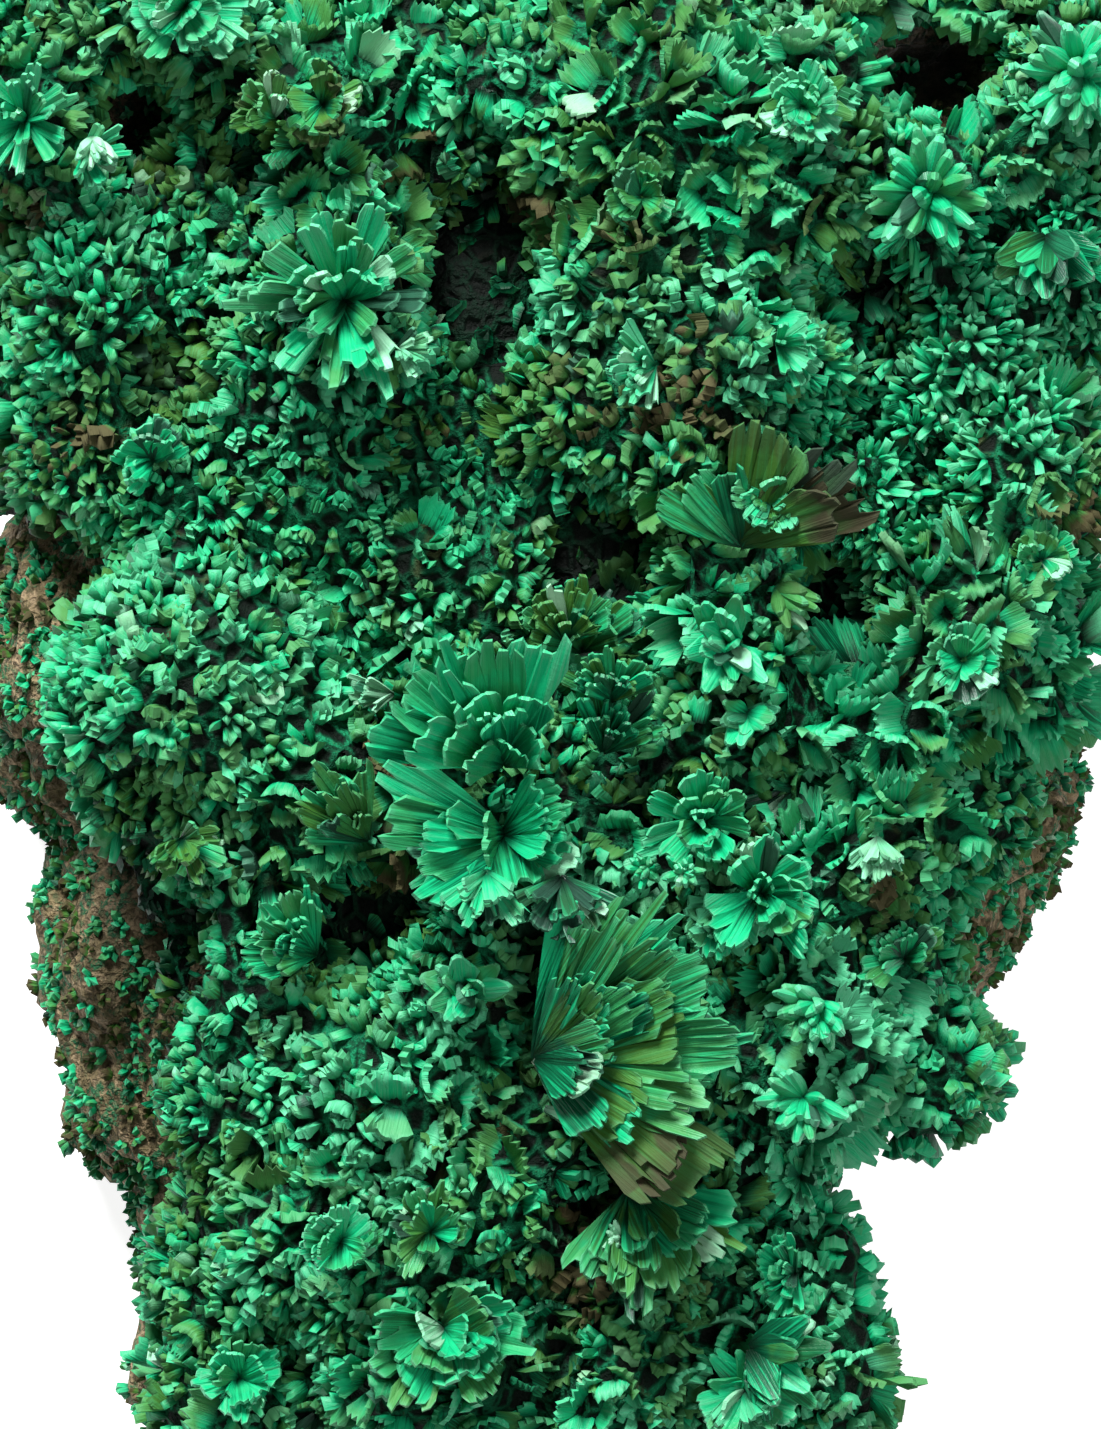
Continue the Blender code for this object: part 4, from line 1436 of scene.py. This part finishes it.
@dataclass
class Rock:
    """The bare brown rock under the crust, with its flat cut back."""

    node: str = "matrix"
    voxel: float = 0.66
    flat_band: float = 0.35
    gap: float = 0.95
    body: bpy.types.Object | None = None

    def build(self, material: bpy.types.Material) -> bpy.types.Object:
        """Make the rock's rough surface.

        Args:
            material: its finish.

        Returns:
            The piece.
        """
        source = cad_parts[self.node]
        obj = bpy.data.objects.new("rock_matrix", source.data.copy())
        bpy.context.scene.collection.objects.link(obj)
        remesh = obj.modifiers.new("even", "REMESH")
        remesh.mode = "VOXEL"
        remesh.voxel_size = self.voxel * MM * 1.0
        settle(obj)
        mesh = obj.data
        points = read_points(mesh)
        normals = read_normals(mesh)
        floor = points[:, 2].min()
        lump = np.array([noise.fractal(Vector(p) * 300.0, 0.9, 2.2, 4) for p in points])
        grain = np.array([abs(noise.noise(Vector(p) * 900.0)) for p in points])
        crack = np.array([abs(noise.noise(Vector(p) * 210.0 + Vector((4.0, 1.0, 7.0)))) for p in points])
        lift = (0.5 * lump - 0.55 * grain - 0.6 * np.maximum(0.0, 0.16 - crack) / 0.16) * MM
        pits = recess_depth(Crust.tones, points / MM)
        hollow = np.array([max(noise.noise(Vector(p) * 150.0 + Vector((2.0, 6.0, 3.0))), 0.0) for p in points])
        hollow *= np.clip((np.abs(points[:, 1]) / MM - 31.0) / 4.0, 0.0, 1.0) * (1.0 - np.abs(normals[:, 2]))
        # painted shade: points in dark-toned recesses and in the side hollows darken towards near-black
        mark_pit_shade(mesh, pits / 1.4 + 0.9 * hollow)
        lift -= 3.2 * hollow * MM
        lift *= np.clip((points[:, 2] - floor) / (self.flat_band * MM) - 1.0, 0.0, 1.0)
        points = points + normals * lift[:, None]
        low = points[:, 2] < floor + 0.4 * self.voxel * MM
        points[low, 2] = CAD_BOX[0][2]
        mesh.vertices.foreach_set("co", inside_box(points).astype(np.float32).ravel())
        mesh.update()
        mesh.polygons.foreach_set("use_smooth", np.ones(len(mesh.polygons), bool))
        mesh.set_sharp_from_angle(angle=math.radians(55.0))
        mesh.materials.clear()
        mesh.materials.append(material)
        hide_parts(self.node)
        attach(obj, "root")
        self.body = obj
        return obj

    def build_sprigs(self, material: bpy.types.Material, crust: BVHTree) -> bpy.types.Object:
        """Grow sparse rusty and green crystals on the bare rock.

        Args:
            material: the crystal finish.
            crust: the crust's solid, which they keep out of.

        Returns:
            The piece.
        """
        spots, ways = scatter(self.body.data, 4.0, 17)
        room = Room()
        chance = random.Random(23)
        groups = {BladeKind.SPRIG: BladeSet(BladeForm(BladeKind.SPRIG, True), 500)}
        for spot, way in zip(spots, ways):
            place = Vector(spot * MM)
            if spot[2] < 3.0 or way[2] < -0.5 or not room.free(spot, self.gap):
                continue
            if crust.find_nearest(place)[3] < 0.5 * MM or crust.ray_cast(place, Vector((0.0, 0.0, 1.0)))[0]:
                continue
            if noise.noise(Vector(spot) * 0.35) + 0.05 * (spot[2] - 9.0) < chance.uniform(-0.5, 0.3):
                continue
            room.take(spot, self.gap)
            green = chance.random() < 0.7
            seat = Seat(Vector(spot), Vector(way), Crusting.GRAINS, 0.36 if green else 0.2,
                        0.15 if green else 0.95, 0.0)
            Crust.grow_cluster(groups, seat, chance)
        obj = blade_mesh("rock_sprigs", list(groups.values()), 50.0)
        obj.data.materials.append(material)
        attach(obj, "root")
        return obj


@dataclass(frozen=True)
class Studio:
    """Floor, light and camera."""

    lens: float = 300.0
    sensor: float = 36.0
    half_height: float = 32.15
    level: float = 28.0
    floor_width: float = 1.6
    key_power: float = 23.0
    fill_power: float = 1.3
    ambient: float = 0.175

    def build(self) -> None:
        """Set up the studio."""
        self.floor()
        self.light("key", (-0.19, 0.63, 0.50), self.key_power, 0.32)
        self.light("fill", (0.20, -0.10, 0.45), self.fill_power, 0.30)
        self.sky()
        self.camera()

    def floor(self) -> None:
        """Lay a floor under the specimen."""
        half = self.floor_width / 2
        mesh = bpy.data.meshes.new("studio_floor")
        mesh.from_pydata([(-half, -half, 0.0), (half, -half, 0.0), (half, half, 0.0), (-half, half, 0.0)],
                         [], [(0, 1, 2, 3)])
        obj = bpy.data.objects.new("studio_floor", mesh)
        mesh.materials.append(FloorFinish().material())
        bpy.context.scene.collection.objects.link(obj)

    @staticmethod
    def light(name: str, place: tuple[float, float, float], power: float, size: float) -> None:
        """Hang a soft lamp that looks at the specimen.

        Args:
            name: its name.
            place: where it hangs.
            power: its watts.
            size: its width.
        """
        lamp = bpy.data.lights.new(name, "AREA")
        lamp.energy = power
        lamp.size = size
        obj = bpy.data.objects.new(name, lamp)
        obj.location = place
        obj.rotation_euler = (Vector((0.0, 0.0, 0.015)) - Vector(place)).to_track_quat("-Z", "Y").to_euler()
        bpy.context.scene.collection.objects.link(obj)

    def sky(self) -> None:
        """Fill the room with dim even light."""
        world = bpy.data.worlds.new("studio")
        world.use_nodes = True
        back = world.node_tree.nodes["Background"]
        back.inputs["Color"].default_value = (1.0, 1.0, 1.0, 1.0)
        back.inputs["Strength"].default_value = self.ambient
        scene = bpy.context.scene
        scene.world = world
        scene.view_settings.view_transform = "Standard"
        scene.view_settings.look = "None"

    def camera(self) -> None:
        """Place the camera straight above the crystal face."""
        cam = bpy.data.cameras.new("camera")
        cam.lens = self.lens
        cam.sensor_width = self.sensor
        cam.clip_start = 0.01
        obj = bpy.data.objects.new("camera", cam)
        away = self.half_height / (self.sensor / 2 / self.lens)
        obj.location = (0.0, 0.0, (self.level + away) * MM)
        bpy.context.scene.collection.objects.link(obj)
        bpy.context.scene.camera = obj


FAN, LATH, LEAF, PILL = BladeKind.FAN, BladeKind.LATH, BladeKind.LEAF, BladeKind.PILL
BROAD, NARROW = BladeKind.BROAD_FAN, BladeKind.NARROW_FAN

SPRAYS = (
    Spray("cup_rosette", FAN, 0.60, 0.05, (
        Head(-2.1, -2.2, 30.6, (Ring(5, 78, 168, 62, 6.2), Ring(3, 30, 140, 32, 4.6))),
        Head(-2.1, -5.4, 30.6, (Ring(3, 155, 210, 66, 5.8), Ring(3, 240, 320, 66, 3.0),
                                Ring(3, -30, 40, 60, 3.8), Ring(2, 120, 230, 30, 3.4)))), ragged=1.2, grown=1.22),
    Spray("dark_fan", LATH, 0.30, 0.10, (
        Head(2.4, -1.6, 29.4, (Ring(5, 15, 110, 58, 4.2), Ring(2, 40, 90, 28, 3.2))),)),
    Spray("centre_rosettes", NARROW, 0.60, 0.10, (
        Head(6.8, -4.8, 30.0, (Ring(6, -170, 130, 64, 3.0), Ring(2, -160, 60, 26, 2.6))),
        Head(9.4, -8.0, 29.8, (Ring(6, -130, 100, 64, 3.6), Ring(2, -60, 120, 28, 2.8)))), ragged=1.5, grown=1.15),
    Spray("great_fan", BROAD, 0.35, 0.26, (
        Head(-0.7, -15.4, 31.2, (Ring(7, -44, 62, 77, 10.0), Ring(5, -40, 56, 62, 8.0),
                                 Ring(4, -34, 56, 42, 5.8))),), rusty=(-58.0, -8.0), grown=1.06),
    Spray("lower_fan", NARROW, 0.42, 0.26, (
        Head(3.6, -21.4, 29.0, (Ring(7, -125, -12, 74, 6.6), Ring(4, -110, -25, 54, 5.2))),), ragged=1.3),
    Spray("light_leaves", LEAF, 0.78, 0.12, (
        Head(-3.6, -12.4, 30.8, (Ring(5, 30, 230, 60, 3.0), Ring(2, 80, 190, 24, 2.6))),), ragged=1.6),
    Spray("boss_rosette", LATH, 0.72, 0.08, (
        Head(-9.3, 18.6, 30.6, (Ring(8, 0, 315, 66, 4.4), Ring(4, 20, 290, 34, 3.8))),), ragged=1.7, grown=1.18),
    Spray("top_flower", FAN, 0.82, 0.03, (
        Head(-16.4, 31.8, 29.6, (Ring(7, 0, 308, 66, 2.9), Ring(2, 60, 240, 26, 2.3))),), grown=1.15),
    Spray("left_flower", LATH, 0.78, 0.05, (
        Head(-23.6, 26.8, 28.6, (Ring(6, 20, 320, 64, 2.8), Ring(2, 60, 240, 28, 2.4))),
        Head(-21.0, 25.2, 28.0, (Ring(3, -80, 40, 60, 2.2),))), ragged=1.3, grown=1.15),
    Spray("olive_fan", FAN, 0.42, 0.42, (
        Head(-10.2, 27.4, 29.6, (Ring(5, -150, 50, 60, 2.8), Ring(2, -100, 0, 28, 2.4))),), ragged=1.4),
    Spray("right_flower", PILL, 0.80, 0.04, (
        Head(23.8, 28.8, 28.6, (Ring(7, 0, 308, 64, 3.1), Ring(2, 60, 240, 28, 2.5))),), grown=1.2),
    Spray("petal_cluster", PILL, 0.62, 0.10, (
        Head(16.9, 23.4, 29.6, (Ring(7, 0, 308, 62, 3.1), Ring(2, 60, 240, 28, 2.6))),), ragged=1.4, grown=1.2),
    Spray("upper_leaves", LEAF, 0.62, 0.22, (
        Head(11.4, 27.4, 31.0, (Ring(6, 0, 300, 62, 2.7), Ring(2, 60, 240, 26, 2.3))),), ragged=1.5),
    Spray("ridge_left_blades", LATH, 0.86, 0.03, (
        Head(4.6, 15.6, 31.4, (Ring(5, 130, 260, 66, 2.9), Ring(2, 150, 240, 28, 2.2))),), ragged=1.6),
    Spray("ridge_right_blades", LATH, 0.86, 0.03, (
        Head(10.2, 16.6, 31.8, (Ring(4, -70, 25, 64, 2.8), Ring(1, -60, 20, 24, 2.2))),), ragged=1.6),
    Spray("ridge_fan", FAN, 0.40, 0.36, (
        Head(8.5, 7.6, 31.0, (Ring(5, 12, 80, 68, 6.4), Ring(3, 108, 158, 66, 4.6))),
        Head(9.6, 9.9, 31.6, (Ring(5, 30, 318, 50, 2.4),))), ragged=1.3, rusty=(10.0, 70.0), grown=1.12),
    Spray("block_bundle", PILL, 0.52, 0.42, (
        Head(10.2, 5.6, 30.4, (Ring(3, -75, -10, 66, 2.8),)),), ragged=1.5),
    Spray("leaf_column", LEAF, 0.76, 0.08, (
        Head(8.0, 3.2, 31.0, (Ring(6, 70, 310, 62, 3.0), Ring(2, 120, 280, 26, 2.4))),
        Head(8.8, 0.0, 30.8, (Ring(4, 180, 360, 60, 2.2),))), ragged=1.5),
    Spray("valley_blades", LATH, 0.34, 0.22, (
        Head(1.4, 3.0, 27.6, (Ring(5, 20, 165, 60, 4.0), Ring(2, 60, 130, 30, 3.0))),)),
    Spray("olive_stack", NARROW, 0.46, 0.30, (
        Head(-8.2, -5.6, 29.6, (Ring(5, 100, 175, 64, 4.6), Ring(2, 115, 155, 38, 3.4))),)),
    Spray("left_fan", NARROW, 0.50, 0.12, (
        Head(-10.6, -10.8, 27.6, (Ring(5, 95, 200, 64, 4.2), Ring(2, 120, 175, 34, 3.2))),)),
    Spray("pale_columns", PILL, 0.80, 0.04, (
        Head(12.0, -13.0, 30.0, (Ring(5, 150, 320, 60, 2.8), Ring(2, 190, 290, 26, 2.4))),
        Head(11.4, -17.2, 29.6, (Ring(5, 130, 330, 60, 2.8),))), ragged=1.6),
    Spray("foot_blades", LATH, 0.46, 0.06, (
        Head(11.0, -25.2, 27.0, (Ring(5, 100, 280, 60, 2.8), Ring(2, 140, 250, 28, 2.2))),)),
    Spray("foot_leaves", LEAF, 0.54, 0.05, (
        Head(9.2, -30.6, 27.0, (Ring(5, 40, 160, 62, 3.2), Ring(2, 70, 130, 28, 2.6))),), ragged=1.4),
    Spray("foot_star", FAN, 0.54, 0.16, (
        Head(-4.8, -27.6, 29.2, (Ring(7, 170, 390, 64, 4.2), Ring(3, 200, 350, 30, 3.2))),), grown=1.1),
    Spray("left_foot_fan", NARROW, 0.56, 0.12, (
        Head(-9.4, -24.6, 28.2, (Ring(5, 30, 145, 62, 3.0), Ring(2, 60, 115, 28, 2.4))),)),
)


LOOSE = (
    Bundle(486, 872, LATH, 0.90, 0.15, Ring(5, -150, -40, 68, 3.2)),
    Bundle(560, 878, LATH, 0.20, -0.80, Ring(5, -150, -30, 72, 3.6)),
    Bundle(392, 695, LATH, 0.80, 0.60, Ring(3, 150, 205, 72, 2.4)),
    Bundle(769, 498, BladeKind.FAN, 0.86, 0.0, Ring(6, 0, 300, 58, 2.4), lift=0.7),
    Bundle(797, 790, LATH, 0.30, -0.80, Ring(3, 190, 300, 76, 2.8)),
    Bundle(722, 905, BladeKind.FAN, 0.86, 0.05, Ring(4, 190, 310, 66, 2.8)),
    Bundle(877, 838, NARROW, 0.80, 0.50, Ring(4, 230, 310, 70, 2.4)),
    Bundle(645, 868, BladeKind.PILL, 0.78, 0.0, Ring(6, 0, 300, 46, 1.5)),
    Bundle(683, 872, BladeKind.PILL, 0.72, 0.0, Ring(6, 0, 300, 46, 1.4)),
    Bundle(1046, 240, LEAF, 0.34, 0.0, Ring(4, -150, -30, 74, 3.6)),
    Bundle(92, 140, BladeKind.PILL, 0.92, 0.60, Ring(4, -130, -30, 62, 2.0)),
    Bundle(398, 352, LATH, 0.80, 0.45, Ring(3, -60, 30, 60, 2.0)),
    Bundle(617, 1236, BladeKind.PILL, 0.90, 0.70, Ring(3, 100, 260, 50, 1.2)),
    Bundle(545, 1108, LATH, 0.92, 0.60, Ring(2, -32, -14, 80, 4.2), 0.15, 0.8),
    Bundle(745, 1392, BladeKind.FAN, 0.86, 0.0, Ring(5, -150, -20, 68, 3.0)),
    Bundle(752, 1350, LEAF, 0.26, 0.0, Ring(4, -70, 30, 76, 4.0)),
    Bundle(235, 1385, BladeKind.FAN, 0.62, 0.05, Ring(6, 0, 300, 60, 2.6)),
    Bundle(340, 1240, BladeKind.FAN, 0.66, 0.0, Ring(5, 20, 240, 62, 2.4)),
    Bundle(610, 700, LATH, 0.34, 0.0, Ring(6, 20, 160, 62, 3.0), 0.2),
    Bundle(566, 640, LATH, 0.30, 0.0, Ring(5, 20, 140, 62, 3.2), 0.25),
    Bundle(150, 460, BladeKind.FAN, 0.60, 0.0, Ring(5, 30, 240, 60, 2.4)),
    Bundle(275, 120, NARROW, 0.44, 0.0, Ring(5, 60, 200, 62, 2.6), 0.4),
    Bundle(640, 200, BladeKind.FAN, 0.60, 0.0, Ring(5, 0, 240, 60, 2.4), 0.25),
    Bundle(800, 110, BladeKind.FAN, 0.80, 0.1, Ring(6, 0, 300, 60, 2.6)),
    Bundle(960, 660, BladeKind.FAN, 0.66, 0.05, Ring(6, 0, 300, 60, 2.4)),
    Bundle(1040, 560, BladeKind.FAN, 0.60, 0.0, Ring(5, -60, 200, 60, 2.2), 0.2),
    Bundle(905, 960, NARROW, 0.60, 0.0, Ring(5, 30, 200, 62, 2.6), 0.15),
    Bundle(180, 840, NARROW, 0.40, 0.0, Ring(5, -150, 20, 64, 2.6), 0.35),
    Bundle(430, 1230, NARROW, 0.50, 0.0, Ring(5, 0, 240, 62, 2.6), 0.25),
    Bundle(560, 1330, BladeKind.FAN, 0.40, 0.0, Ring(5, 40, 200, 64, 3.0)),
    Bundle(800, 1180, LATH, 0.74, 0.2, Ring(6, 0, 300, 60, 2.4)),
)


def main() -> None:
    """Build the specimen and its studio, and report each piece."""
    logging.basicConfig(level=logging.INFO, format="%(name)s: %(message)s")
    effects = Effects()
    blades = CrystalFinish("malachite_blades", brown=(0.028, 0.019, 0.011, 1.0)).material(effects)
    small = CrystalFinish("malachite_small_crystals", rim_start=0.84, rim_share=0.20, root_painted_shade=0.10,
                          fineness=14.0, roughness=0.46, shine=0.16).material(effects)
    # painted shade: the crust ground's dark, mottled greens stand for small crystals lying in shadow between the
    # clusters
    ground = GroundFinish("crust_ground", (0.0008, 0.026, 0.011, 1.0), (0.0020, 0.075, 0.031, 1.0),
                          (0.036, 0.030, 0.010, 1.0), (0.004, 0.130, 0.055, 1.0), 0.36, 0.54, 0.8,
                          0.0004, shine=0.1, pore_size=950.0, pore_depth=0.96).material(effects)
    bare = GroundFinish("brown_rock", (0.060, 0.046, 0.021, 1.0), (0.180, 0.138, 0.070, 1.0),
                        (0.290, 0.212, 0.125, 1.0), (0.012, 0.100, 0.040, 1.0), 0.48, 0.50, 0.86,
                        0.00045, patch=1000.0, shine=0.2).material(effects)
    rock = Rock()
    made = [rock.build(bare)]
    for spray in SPRAYS:
        made.append(spray.build(blades))
    crust = Crust()
    made.append(crust.build_skin(ground))
    sprays = tree_of(*(spray.node for spray in SPRAYS))
    made.extend(crust.build_crystals(small, sprays, tree_of("matrix")))
    made.append(rock.build_sprigs(small, tree_of(crust.node)))
    solids = tree_of(crust.node, *(spray.node for spray in SPRAYS))
    made.append(LooseCrystals(LOOSE).build(blades, solids))
    Studio().build()
    total = 0
    for obj in made:
        faces = sum(len(p.vertices) - 2 for p in obj.data.polygons)
        total += faces
        log.info("%s: %d triangles", obj.name, faces)
    log.info("%d triangles in all", total)


if __name__ == "__main__":
    main()
